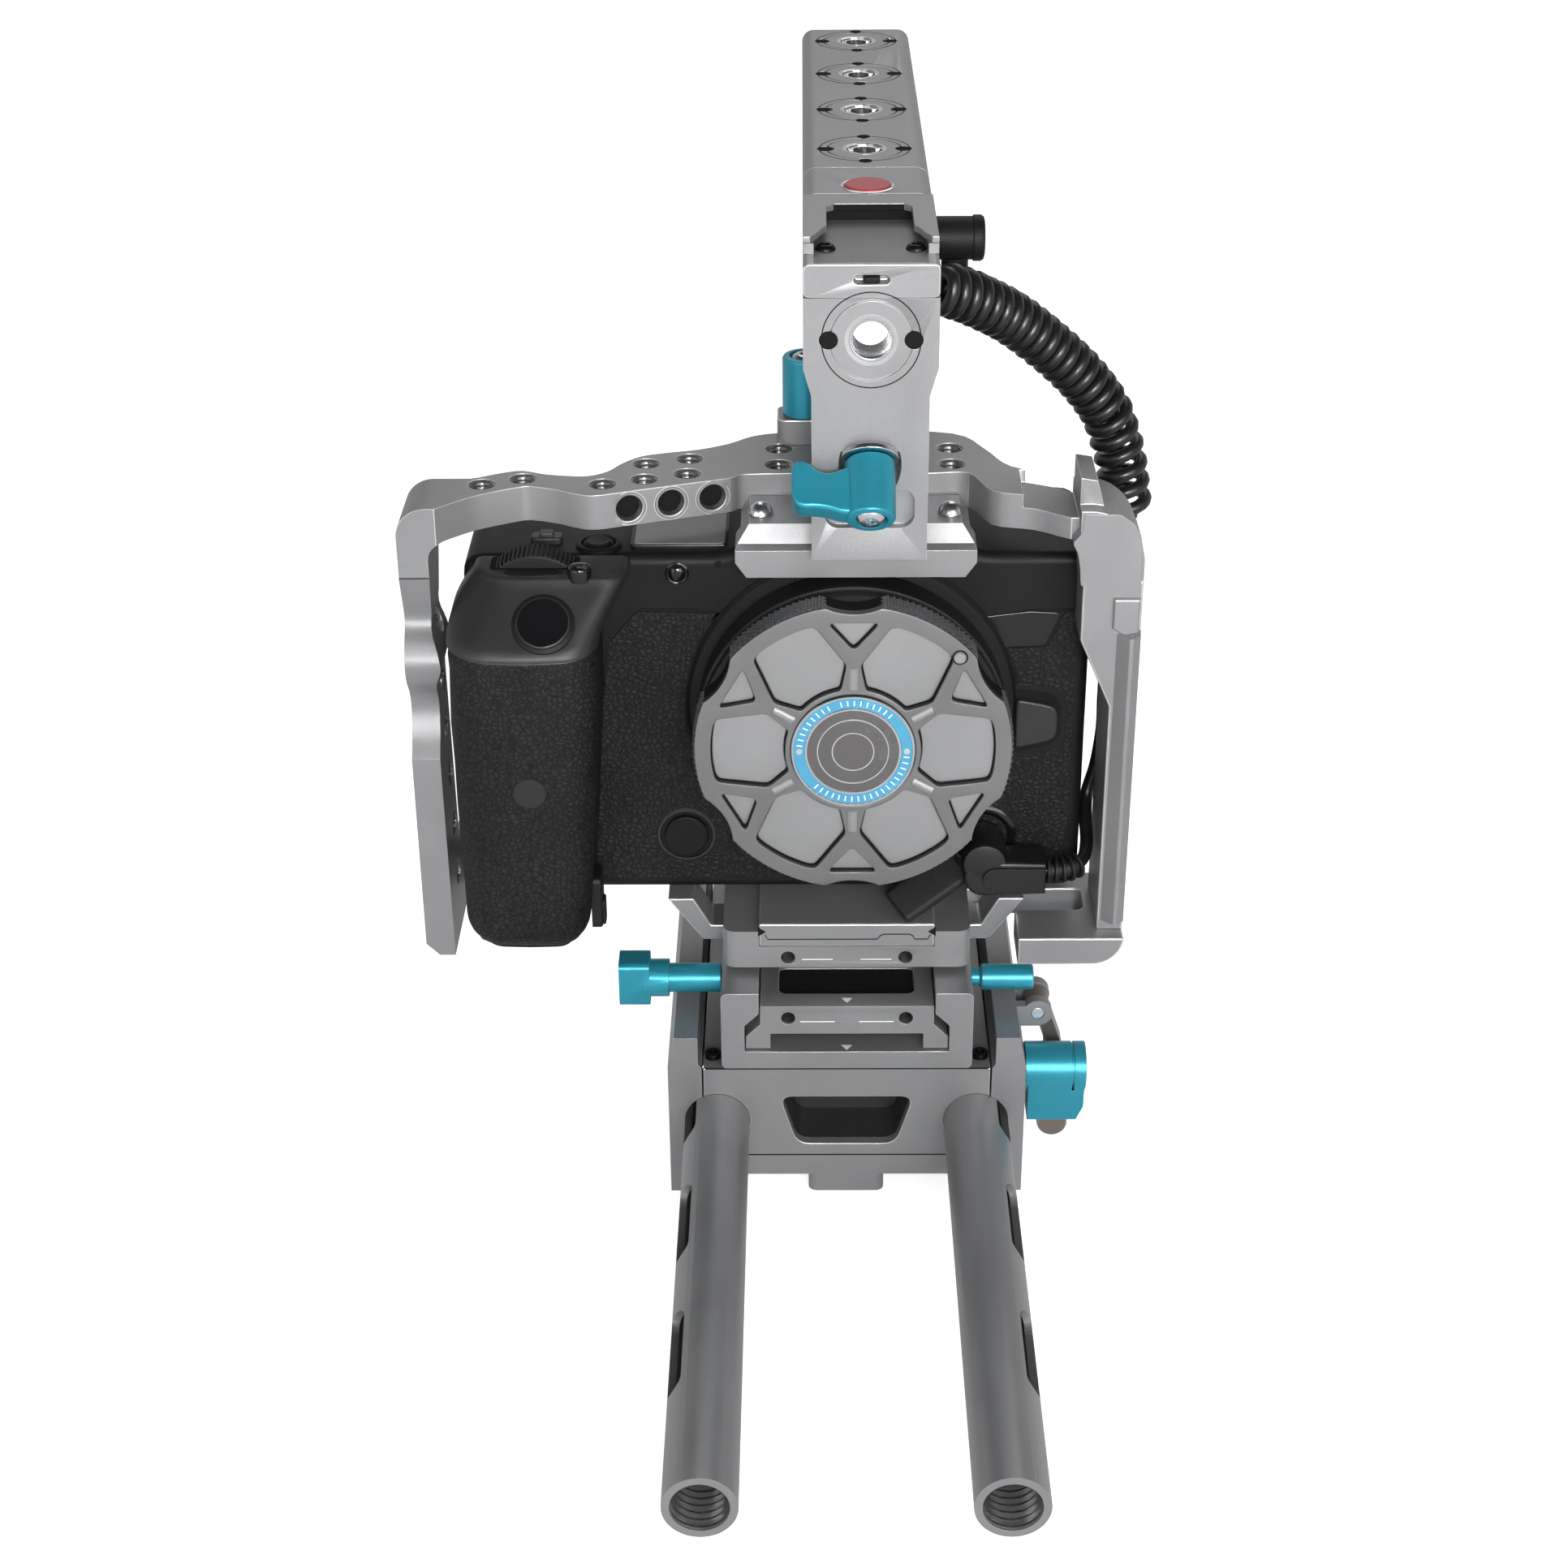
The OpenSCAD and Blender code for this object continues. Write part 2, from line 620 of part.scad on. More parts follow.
cap_back = cam_front - 4 - part_gap;
cap_front = cap_back - cap_t;
ring_t = 7.4;
module cap_ring() color(black) bar_y(cap_back - ring_t, cap_back, lens_x, lens_z, cap_d / 2 - 0.3);

// The cap's face has six pockets round the medallion and a triangle pocket between
// each pair, and six scallops round its edge
panel_shape = [[14.2, -5.2], [19, -7.7], [29.6, -5.6], [29.6, 5.6], [19, 7.7], [14.2, 5.2]];
triangle_shape = [[22.2, 0], [28.6, -5], [28.6, 5]];
scallop_r = 10;
scallop_depth = 3.2;
module lens_cap() {
    r = cap_d / 2;
    grow = r / 34.5;
    color(graphite) difference() {
        bar_y(cap_front, cap_back - ring_t, lens_x, lens_z, r);
        translate([lens_x, cap_front, lens_z]) rotate([90, 0, 0]) {
            translate([0, 0, -1]) cylinder(h = 3, r = medal_d / 2 + run_gap);
            translate([0, 0, -cap_pocket]) linear_extrude(3) for (i = [0:5]) rotate(60 * i) {
                polygon(panel_shape * grow);
                rotate(30) polygon(triangle_shape * grow);
            }
        }
        for (i = [0:5]) translate([lens_x, 0, lens_z]) rotate([0, 30 + 60 * i, 0])
            bar_y(cap_front - 1, cap_back, r + scallop_r - scallop_depth, 0, scallop_r);
    }
}

module cap_medallion() color(teal) difference() {
    bar_y(cap_front - 0.4, cap_front + 1, lens_x, lens_z, medal_d / 2);
    bar_y(cap_front - 1, cap_front, lens_x, lens_z, medal_d / 2 - 3.6);
}

module rear_screen() color(black) difference() {
    union() {
        slab_y(screen_x1 - screen_w, screen_x1, cam_back - screen_t + part_gap, cam_back + 1, screen_z0,
            screen_z0 + screen_h, 2);
        bar_z(knuckle_z0, knuckle_z1, screen_hinge_x, screen_hinge_y, screen_hinge_r);
        box(screen_x1 - 1, screen_hinge_x, screen_hinge_y - 1, screen_hinge_y + 1, knuckle_z0, knuckle_z1);
    }
    for (z = [knuckle_z0 - 1, knuckle_z1 - 4.3]) bar_z(z, z + 5.3, screen_hinge_x, screen_hinge_y, hinge_pin_r + run_gap);
}

module eyecup() color(black) difference() {
    slab_y(lens_x - 20, lens_x + 20, cam_back, cam_back + 13, shoulder_z - 17, hump_z, 8);
    slab_y(lens_x - 14, lens_x + 14, cam_back + 3, cam_back + 14, shoulder_z - 14, hump_z - 6, 6);
}

door_t = 2.6;
door_x0 = grip_x0 + 4;
door_x1 = grip_x0 + grip_w - 3;
door_y0 = grip_front + 5;
door_y1 = cam_front - 3;
door_axis_z = cam_z - part_gap - door_t / 2;
door_pin_r = 0.6;
lug_w = 3;
lug_half = door_t / 2;
module battery_door() color(black) difference() {
    union() {
        slab_z(door_x0 - 1, door_x1, door_y0, door_y1, cam_z - part_gap - door_t, cam_z - part_gap, 4);
        bar_y(door_y0 + lug_w + part_gap, door_y1 - lug_w - part_gap, door_x0, door_axis_z, lug_half);
    }
    box(door_x0 - 5, door_x0, door_y0 - 1, door_y1 + 1, cam_z - 9, door_axis_z - lug_half + eps);
    for (y = [door_y0 - 1, door_y1 - lug_w - part_gap])
        box(door_x0 - 5, door_x0 + lug_half + part_gap, y, y + lug_w + 1 + part_gap, cam_z - 9, cam_z);
    difference() {
        box(door_x0 - 5, door_x0, door_y0, door_y1, cam_z - 9, cam_z);
        bar_y(door_y0, door_y1, door_x0, door_axis_z, lug_half);
    }
    bar_y(door_y0, door_y1, door_x0, door_axis_z, door_pin_r + run_gap);
}

module door_lugs() {
    for (y = [door_y0, door_y1 - lug_w]) {
        bar_y(y, y + lug_w, door_x0, door_axis_z, lug_half);
        box(door_x0 - lug_half, door_x0 + lug_half, y, y + lug_w, door_axis_z, cam_z + eps);
    }
    bar_y(door_y0, door_y1, door_x0, door_axis_z, door_pin_r);
}

module port_flap() color(black) {
    bar_y(cam_front - 6, cam_front, port_x - 7.6, port_z - 3, 1.2);
    translate([port_x - 6, cam_front - 7, port_z - 4]) rotate([-50, 0, 0]) rotate([0, 54, 0])
        slab_z(-4.6, 4.6, -1.6, 1.6, -17, 0, 1.5);
}

// Cage

seam_z = shoulder_z - 1;
arm_bottom = riser_z + 1;
plate_x0 = left_in + 8;
plate_x1 = right_in - 8;
left_face = arm_front + 2.7;
corner_in_r = 7;
left_in_r = 4;
// The front of the left corner turns back into the edge of the top plate
flank = [[left_in + 2, left_face], [plate_x0, left_face + 5.7]];
module cage_corner(side) {
    out = side < 0 ? left_out : right_out;
    in_x = side < 0 ? left_in : right_in;
    edge = side < 0 ? plate_x0 : plate_x1;
    front = side < 0 ? left_face : arm_front;
    outer_r = side < 0 ? cage_left_r : cage_r;
    inner_r = side < 0 ? left_in_r : corner_in_r;
    mid = out - side * outer_r;
    bend_z = cage_top_z - outer_r;
    translate([0, arm_back, 0]) rotate([90, 0, 0]) linear_extrude(arm_back - front) difference() {
        union() {
            translate([min(out, edge), seam_z]) square([abs(out - edge), bend_z - seam_z]);
            translate([min(mid, edge), seam_z]) square([abs(mid - edge), cage_top_z - seam_z]);
            intersection() {
                translate([mid, bend_z]) circle(outer_r);
                translate([min(mid, out), bend_z]) square(outer_r);
            }
        }
        translate([min(in_x, edge + side), seam_z - 1]) square([abs(edge + side - in_x), cage_z - inner_r - seam_z + 1]);
        translate([min(in_x, edge) - side * inner_r, seam_z - 1]) square([abs(edge - in_x), cage_z - seam_z + 1]);
        translate([in_x - side * inner_r, cage_z - inner_r]) circle(inner_r);
    }
}

// The left arm is wavy on its front edge and on its inner edge
arm_z1 = seam_z - 4;
arm_wave = [[arm_front + 3, arm_z1], [arm_front + 5.5, arm_z1 - 4], [arm_front + 6, arm_z1 - 8],
    [arm_front + 3, arm_z1 - 12], [arm_front + 1, arm_z1 - 16], [arm_front + 2, arm_z1 - 20.5],
    [arm_front + 5, arm_z1 - 24.5], [arm_front + 6, arm_z1 - 29], [arm_front + 4, arm_z1 - 34.5],
    [arm_front, arm_z1 - 40.5], [arm_front, arm_z1 - 47]];
arm_side = concat([[arm_back, seam_z], [left_face, seam_z]], smooth_run(arm_wave, 4),
    [[arm_front, arm_bottom], [6, arm_bottom], [6, arm_bottom + 14], [arm_back, arm_bottom + 22]]);
inner_wave = [[left_in, arm_z1 - 32], [left_in - 0.4, arm_z1 - 26], [left_in - 0.2, arm_z1 - 21.5],
    [left_in + 1.2, arm_z1 - 17.5], [left_in + 0.6, arm_z1 - 13.5], [left_in - 0.8, arm_z1 - 9],
    [left_in - 0.4, arm_z1 - 4], [left_in, arm_z1 + 1]];
arm_face = concat([[left_out, arm_bottom + 3], [left_out + 3, arm_bottom], [left_in, arm_bottom]],
    smooth_run(inner_wave, 3), [[left_in, seam_z], [left_out, seam_z]]);
module cage_left_arm() color(graphite) difference() {
    intersection() {
        profile_x(left_out - 1, left_in + 3, arm_side);
        profile_y(arm_front - 1, 7, arm_face);
    }
    for (i = [0:5]) bar_x(left_out - 1, left_in + 3, arm_back - 6, arm_bottom + 14 + 13 * i, cage_hole_r);
}

foot_z = riser_z + 0.5;
foot_r = 7;
foot_top = foot_z + foot_r;
module cage_right_arm() color(graphite) {
    profile_y(arm_front, arm_back, [[right_in, foot_top], [right_out, foot_top], [right_out, seam_z],
        [right_in, seam_z]]);
    profile_y(arm_front, cam_front - part_gap, [[right_in, seam_z], [right_in - 7, seam_z],
        [right_in - 7, seam_z - 14], [right_in, seam_z - 30]]);
}

facet_a = [-54, -22];
facet_b = [-25.4, -12.3];
facet_turn = atan2(facet_b[1] - facet_a[1], facet_b[0] - facet_a[0]);
top_outline = [flank[0], flank[1], [-78.2, -20.9], [-72, -17.6], [-68.6, -16.7], [-63.1, -18.5], [-58.1, -21.2], facet_a,
    0.75 * facet_a + 0.25 * facet_b, 0.5 * (facet_a + facet_b), 0.25 * facet_a + 0.75 * facet_b, facet_b, [-22.8, -10.3],
    [-14, -9.8], [2, -9.8], [18, -9.8], [26.5, -10], [31, -20], [40, -23], [plate_x1, arm_front + 4],
    [plate_x1, arm_back - 2], [36, -6], [31, 4], [24, 14], [2, 16], [-18, 14], [-26.4, 8], [-33, 4.6], [-40.3, 2.6],
    [-45.5, 0.6], [-49.4, -3.4], [-52.4, -8.2], [-56.5, -10.8], [-61.3, -10.6], [-66.1, -9.6], [-71.1, -7.6],
    [-75.8, -9], [plate_x0, arm_back], [flank[0][0], arm_back]];
top_holes = [[-79.1, -15.4], [-70.5, -12.2], [-53, -15.5], [-44.1, -12.7], [-34.9, -9.6], [-44.1, -3.7], [-34.7, -0.9],
    [-15, -4.5], [-15, 5], [-5, -4.5], [-5, 5], [13, -4.5], [13, 5], [23, -4.5], [23, 5]];
front_hole_pitch = 9.4;
front_hole_shift = 1.6;
front_hole_depth = 2;
step_x = 37.5;
hook_x = 49;
module cage_top() color(graphite) difference() {
    union() {
        translate([0, 0, cage_z]) linear_extrude(cage_t) intersection() {
            polygon(smooth_outline(top_outline, 4));
            translate([plate_x0, -60]) square([plate_x1 - plate_x0, 120]);
        }
        difference() {
            cage_corner(-1);
            translate([0, 0, seam_z - 1]) linear_extrude(cage_top_z - seam_z + 2) polygon([flank[0], flank[0] - [0, 20],
                flank[1] - [-1, 20], flank[1] + [1, 0], flank[1]]);
        }
        cage_corner(1);
        profile_y(arm_front + 4, arm_back - 2, [[hook_x, cage_top_z - 4], [hook_x + 5, cage_top_z - 4],
            [hook_x + 5, cage_top_z], [hook_x + 3.6, cage_top_z + 5.4], [hook_x, cage_top_z + 6]]);
    }
    box(step_x, hook_x, arm_front - 2, arm_back + 4, cage_top_z - 3, cage_top_z + 1);
    for (h = top_holes) bar_z(cage_z - 1, cage_top_z + 1, h[0], h[1], cage_hole_r);
    translate((facet_a + facet_b) / 2) rotate(facet_turn) for (i = [-1:1])
        bar_y(-3, front_hole_depth, front_hole_shift + i * front_hole_pitch, cage_z + cage_t / 2, cage_hole_r);
}

module cage_bottom() color(graphite) {
    box(left_in, -riser_w / 2, -4, 6, arm_bottom + 3, cam_z - 0.4);
    difference() {
        translate([0, arm_back + 6, 0]) rotate([90, 0, 0]) linear_extrude(arm_depth + 10) {
            translate([right_in - 18, foot_z]) square([right_out - right_in + 18 - foot_r, foot_r]);
            translate([right_out - foot_r, foot_top]) intersection() {
                circle(foot_r);
                translate([0, -foot_r]) square(foot_r);
            }
        }
        slab_z(right_in - 30, right_in - 2, arm_front + 9, arm_back - 1.6, foot_z - 1, foot_top + 1, 2);
    }
    box(riser_w / 2, right_in - 17, arm_back - 1.6, arm_back + 6, foot_z, foot_top);
}

block_x0 = -24.2;
block_x1 = 27.4;
block_lug = 8;
block_side = [[block_front, hump_z - 6.8], [cam_front - part_gap, hump_z - 6.8], [cam_front - part_gap, cage_z],
    [-10.4, cage_z], [-10.4, cage_z + 3], [block_front + 4, cage_z + 3], [block_front + 2.3, cage_z - 0.9],
    [block_front, hump_z - 0.6]];
block_face = [[block_x0 + 2.4, hump_z - 6.8], [block_x1 - 2.4, hump_z - 6.8], [block_x1, hump_z - 3.4],
    [block_x1, hump_z - 0.6], [block_x1 - 3, cage_z + 3], [block_x0 + 3, cage_z + 3], [block_x0, hump_z - 0.6],
    [block_x0, hump_z - 3.4]];
module front_block() color(graphite) difference() {
    union() {
        intersection() {
            profile_x(block_x0, block_x1, block_side);
            profile_y(block_front, -10.4, block_face);
        }
        box(handle_x - post_neck_w / 2 + 1, handle_x + post_neck_w / 2 - 1, post_back, post_back + block_lug,
            hump_z - 1, cage_z + 34);
    }
    for (x = [block_x0 + 5.4, block_x1 - 5.4]) bar_z(cage_z + 1, cage_z + 4, x, cam_front - 0.4, 1.6);
}

module block_screws() color(steel) for (x = [block_x0 + 5.4, block_x1 - 5.4]) {
    translate([x, cam_front - 0.4, cage_z + 3]) intersection() {
        sphere(2.7);
        translate([-4, -4, 0]) cube([8, 8, 4]);
    }
}

rear_x = -9;
rear_y = 10;
module rear_clamp_block() color(graphite) difference() {
    slab_z(rear_x - 6.4, rear_x + 6.4, rear_y - 3.4, rear_y + 6, cage_top_z, cage_top_z + 6, 2);
    bar_z(cage_top_z + 0.5, cage_top_z + 7, rear_x, rear_y + 1, 2.5 + run_gap);
}
module rear_lever() color(teal) translate([rear_x, rear_y + 1, cage_top_z + 6 + part_gap]) {
    rotate(180) thumb_lever();
    translate([0, 0, -5]) cylinder(h = 5 + eps, r = 2.5);
}

// Handle

hole_z = shoe_z - 8.8;
post_bottom = hump_z + 0.4;
seat_z = cage_top_z + 14;
seat_depth = 1.5;
stud_r = 2.6;
module at_seat() translate([handle_x, post_front + seat_depth, seat_z]) rotate([90 + lever_lean, 0, 0]) children();

module handle_post() {
    half = handle_w / 2;
    low = post_neck_w / 2;
    color(graphite) difference() {
        translate([handle_x, 0, 0]) profile_y(post_front, post_back, [[-low, post_bottom], [low, post_bottom],
            [low, hole_z - 12], [half, hole_z - 6], [half, shoe_z], [-half, shoe_z], [-half, hole_z - 6],
            [-low, hole_z - 12]]);
        translate([handle_x, post_front, hole_z]) rotate([90, 0, 0]) accessory_hole(post_t + 1);
        at_seat() cylinder(h = 12, r = 6.5);
        at_seat() translate([0, 0, -7]) cylinder(h = 8, r = stud_r + run_gap);
        slab_y(handle_x - 9.4, handle_x + 9.4, post_front - 1, post_front + 2.4, cage_top_z - 1.4, cage_top_z + 7.4, 3);
    }
}

module handle_washer() color(steel) at_seat() difference() {
    cylinder(h = 1.2, r = 6.2);
    translate([0, 0, -1]) cylinder(h = 4, r = stud_r + run_gap);
}

module handle_lever() color(teal) at_seat() {
    translate([0, 0, 1.2 + part_gap]) thumb_lever();
    translate([0, 0, -6]) cylinder(h = 8, r = stud_r);
}

module shoe_block() color(graphite) difference() {
    slab_y(handle_x - handle_w / 2, handle_x + handle_w / 2, post_front, shoe_back, shoe_z, shoe_top, 1.2);
    slab_y(handle_x - 3.6, handle_x + 3.6, post_front - 1, post_front + 2.6, shoe_z + 2.9, shoe_z + 4.7, 0.85);
}

module cold_shoe() color(dark_metal) difference() {
    slab_z(handle_x - 11.6, handle_x + 11.6, post_front + 3, shoe_back, shoe_top, handle_top, 1.5);
    box(handle_x - 9.4, handle_x + 9.4, post_front, shoe_back - 4, shoe_top - eps, shoe_top + 2.1);
    box(handle_x - 6.4, handle_x + 6.4, post_front, shoe_back - 4, shoe_top, handle_top + 1);
}

switch_travel = 1.5;
module mode_switch() color(black)
    slab_y(handle_x - 3.2 + switch_travel, handle_x + 3.2 - switch_travel, post_front - 0.5, post_front + 2.2,
        shoe_z + 3.1, shoe_z + 4.5, 0.6);

record_r = 5;
record_y = 6;
module trigger_housing() color(graphite) difference() {
    slab_y(handle_x - handle_w / 2, handle_x + handle_w / 2, shoe_back, housing_back, handle_top - handle_h,
        handle_top, 3);
    bar_z(handle_top - 4, handle_top + 1, handle_x, record_y, record_r + run_gap);
}
module record_button() color(red) bar_z(handle_top - 2.6, handle_top + 0.6, handle_x, record_y, record_r);

module handle_grip() color(graphite) difference() {
    slab_y(handle_x - handle_w / 2, handle_x + handle_w / 2, housing_back, handle_back, handle_top - handle_h,
        handle_top, 3);
    for (i = [0:3]) translate([handle_x, first_hole_y + i * hole_pitch, handle_top]) accessory_hole(handle_h + 1);
}

// Cord: a socket on the handle, the curly stretch, a straight lead and an angled plug

socket_x0 = handle_x + handle_w / 2;
socket_y = 4;
socket_z = handle_top - 9.6;
module cord_socket() color(black) {
    slab_z(socket_x0, socket_x0 + 9.4, socket_y - 5, socket_y + 5, socket_z - 5, socket_z + 5, 2.5);
    bar_z(socket_z - 8, socket_z - 5 + eps, socket_x0 + 5, socket_y, 3);
}

coil_top = [socket_x0 + 5, socket_y, socket_z - 8];
coil_end = [63.5, 6, 149];
coil_path = [coil_top - [0, 0, cord_d], [31, 4, 202], [42, 4, 193.5], [52, 5, 183], [59, 6, 171.5], [62.6, 6, 160],
    coil_end];
function path_at(t) = let (n = len(coil_path) - 1, s = min(t, 0.99999) * n, i = floor(s), f = s - i,
    b = coil_path[i], c = coil_path[i + 1], a = i > 0 ? coil_path[i - 1] : 2 * b - c,
    d = i < n - 1 ? coil_path[i + 2] : 2 * c - b)
    0.5 * ((2 * b) + (c - a) * f + (2 * a - 5 * b + 4 * c - d) * f * f + (3 * b - a - 3 * c + d) * f * f * f);
path_steps = 48;
path_marks = [for (i = 0, d = 0; i <= path_steps; d = d + norm(path_at((i + 1) / path_steps) - path_at(i / path_steps)),
    i = i + 1) [d, i / path_steps]];
path_len = path_marks[path_steps][0];
function even_at(t) = path_at(lookup(t * path_len, path_marks));
curl_r = (curl_d - cord_d) / 2;
curl_steps = 8;
function coil_point(k) = let (turn = k / curl_steps, t = turn / curls,
    along = unit(even_at(min(t + 0.01, 1)) - even_at(max(t - 0.01, 0))), side = [0, 1, 0],
    up = unit(cross(along, side)), grow = min(1, turn, curls - turn), a = 360 * turn)
    even_at(t) + curl_r * grow * (side * cos(a) + up * sin(a));
coil_points = concat([coil_top], [for (k = [0:curls * curl_steps]) coil_point(k)],
    [coil_end - [0, 0, cord_d], coil_end - [0, 0, 2 * cord_d]]);
coil_gap = min([for (i = [0:len(coil_points) - 7]) min([for (j = [i + 5:min(i + 12, len(coil_points) - 1)])
    norm(coil_points[i] - coil_points[j])])]) - cord_d;
echo(coil_gap = coil_gap);

// Tube through a list of points: rings of a few sides joined by triangles
function ring_at(p, i, r, sides) = let (n = len(p) - 1, along = unit(p[min(i + 1, n)] - p[max(i - 1, 0)]),
    ref = abs(along[1]) < 0.8 ? [0, 1, 0] : [1, 0, 0], u = unit(cross(along, ref)), v = cross(along, u))
    [for (k = [0:sides - 1]) p[i] + r * (u * cos(360 * k / sides) + v * sin(360 * k / sides))];
module tube(p, r, sides) {
    rings = len(p);
    points = [for (i = [0:rings - 1]) each ring_at(p, i, r, sides)];
    wall = [for (i = [0:rings - 2], k = [0:sides - 1]) let (a = i * sides + k, b = i * sides + (k + 1) % sides)
        each [[a, b, b + sides], [a, b + sides, a + sides]]];
    ends = [for (k = [1:sides - 2]) each [[0, k + 1, k], [(rings - 1) * sides, (rings - 1) * sides + k,
        (rings - 1) * sides + k + 1]]];
    polyhedron(points, concat(wall, ends));
}

module cord_coil() color(black) tube(coil_points, cord_d / 2, 6);

lead_end = coil_end - [0, 0, 2 * cord_d];
lead_points = [lead_end, lead_end - [0, 0, 4], [62.6, 3, 135], [60.6, -3, 128], [59, -7, 120], [58.6, -9, 112],
    [58.6, -9.4, 104], [57.6, -9.6, 95], [55.8, -10.6, 88], [55.2, -15, 84], [55.2, -20, 80.5], [54, -25, 78.8],
    [50.5, -28.4, 78.1], [47.5, plug_y, port_z - 4], [port_x + 14, plug_y, port_z - 4]];
module cord_lead() color(black) tube(lead_points, cord_d / 2, 8);

module cord_plug() color(black) {
    bar_y(plug_y, cam_front + 6, port_x, port_z, plug_r);
    bar_y(plug_y - 3.6, cam_front - 1.4, port_x, port_z, 5);
    bar_x(port_x, port_x + 14, plug_y, port_z - 4, 3.6);
}

// Fasteners

screw_head_r = rec_inset / 2 - 0.25;
module base_screws() color(dark_metal) for (s = [-1, 1]) difference() {
    bar_z(base_top, base_top + 1.4, s * (rec_w / 2 + rec_inset / 2), base_front + 5, screw_head_r);
    bar_z(base_top + 0.6, base_top + 3, s * (rec_w / 2 + rec_inset / 2), base_front + 5, screw_head_r / 2);
}

base_block();
base_floor();
rod_jaw_left();
rod_jaw_right();
receiver();
rod_left();
rod_right();
clamp_screw();
clamp_lever();
side_stud();
side_knob();
lock_button();
release_lever();
release_pin();
slide_plate();
riser_plate();
camera_plate();
camera_screw();
riser_braces();
camera_body();
hand_grip();
lens_mount();
lens_cap();
cap_ring();
cap_medallion();
shutter_button();
function_button();
top_button();
main_dial();
lens_release();
preview_button();
rear_screen();
eyecup();
battery_door();
port_flap();
cage_left_arm();
cage_right_arm();
cage_top();
cage_bottom();
front_block();
block_screws();
rear_clamp_block();
rear_lever();
handle_post();
shoe_block();
cold_shoe();
trigger_housing();
handle_grip();
record_button();
mode_switch();
handle_washer();
handle_lever();
cord_socket();
cord_coil();
cord_lead();
cord_plug();
base_screws();
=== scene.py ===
import json
from math import atan2, cos, degrees, pi, radians, sin, sqrt
import bmesh
import bpy
from mathutils import Matrix, Vector


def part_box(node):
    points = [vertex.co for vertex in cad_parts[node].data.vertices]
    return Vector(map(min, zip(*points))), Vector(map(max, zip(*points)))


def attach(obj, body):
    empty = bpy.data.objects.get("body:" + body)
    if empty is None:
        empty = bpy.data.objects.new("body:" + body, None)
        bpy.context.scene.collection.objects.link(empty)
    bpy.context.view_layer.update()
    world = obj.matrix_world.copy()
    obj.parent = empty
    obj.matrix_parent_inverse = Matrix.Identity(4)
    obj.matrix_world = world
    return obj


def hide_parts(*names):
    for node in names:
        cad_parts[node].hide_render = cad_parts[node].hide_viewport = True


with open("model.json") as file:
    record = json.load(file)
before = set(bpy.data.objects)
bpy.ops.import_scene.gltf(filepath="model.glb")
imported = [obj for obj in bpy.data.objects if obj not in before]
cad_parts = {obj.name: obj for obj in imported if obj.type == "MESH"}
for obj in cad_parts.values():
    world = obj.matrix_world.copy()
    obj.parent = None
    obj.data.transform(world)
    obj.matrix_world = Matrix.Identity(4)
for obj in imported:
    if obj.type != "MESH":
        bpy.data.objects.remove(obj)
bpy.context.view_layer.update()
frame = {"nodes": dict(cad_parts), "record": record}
NODE_BODY = {n: b for b, ns in frame["record"]["behaviour"]["bodies"].items() for n in ns}
STAGE = "camera_stage"
MM = 0.001
FORWARD = (0, -1, 0)


def new_object(name, data):
    o = bpy.data.objects.new(name, data)
    bpy.context.scene.collection.objects.link(o)
    return o


# Camera at the photograph's viewpoint

VIEW_FROM = Vector((-9.5, -556.8, 387.0))
VIEW_PITCH, VIEW_YAW, VIEW_ROLL = radians(28.5), radians(-0.5), radians(-0.4)
SENSOR_WIDTH, FOCAL_LENGTH = 36, 61.73


def make_camera():
    flat = cos(VIEW_PITCH)
    ahead = Vector((sin(VIEW_YAW) * flat, cos(VIEW_YAW) * flat, -sin(VIEW_PITCH)))
    right = Vector((cos(VIEW_YAW), -sin(VIEW_YAW), 0))
    up = right.cross(ahead)
    rolled_right = cos(VIEW_ROLL) * right + sin(VIEW_ROLL) * up
    rolled_up = cos(VIEW_ROLL) * up - sin(VIEW_ROLL) * right
    data = bpy.data.cameras.new("view")
    data.sensor_width = SENSOR_WIDTH
    data.lens = FOCAL_LENGTH
    data.clip_start = 0.05
    cam = new_object("view", data)
    turn = Matrix((rolled_right, rolled_up, -ahead)).transposed().to_4x4()
    cam.matrix_world = Matrix.Translation(VIEW_FROM * MM) @ turn
    bpy.context.scene.camera = cam


make_camera()


# Node trees

def add(tree, kind, **inputs):
    """A node with its inputs set; an input's name has _ where the socket's has a space."""
    node = tree.nodes.new(kind)
    for key, value in inputs.items():
        node.inputs[key.replace("_", " ")].default_value = value
    return node


def connect(tree, *links):
    """Links sockets, each given as a node, its output, the next node and its input."""
    for a, output, b, socket in links:
        tree.links.new(a.outputs[output], b.inputs[socket])


# Finishes

GRAIN_HEIGHT = 0.0004


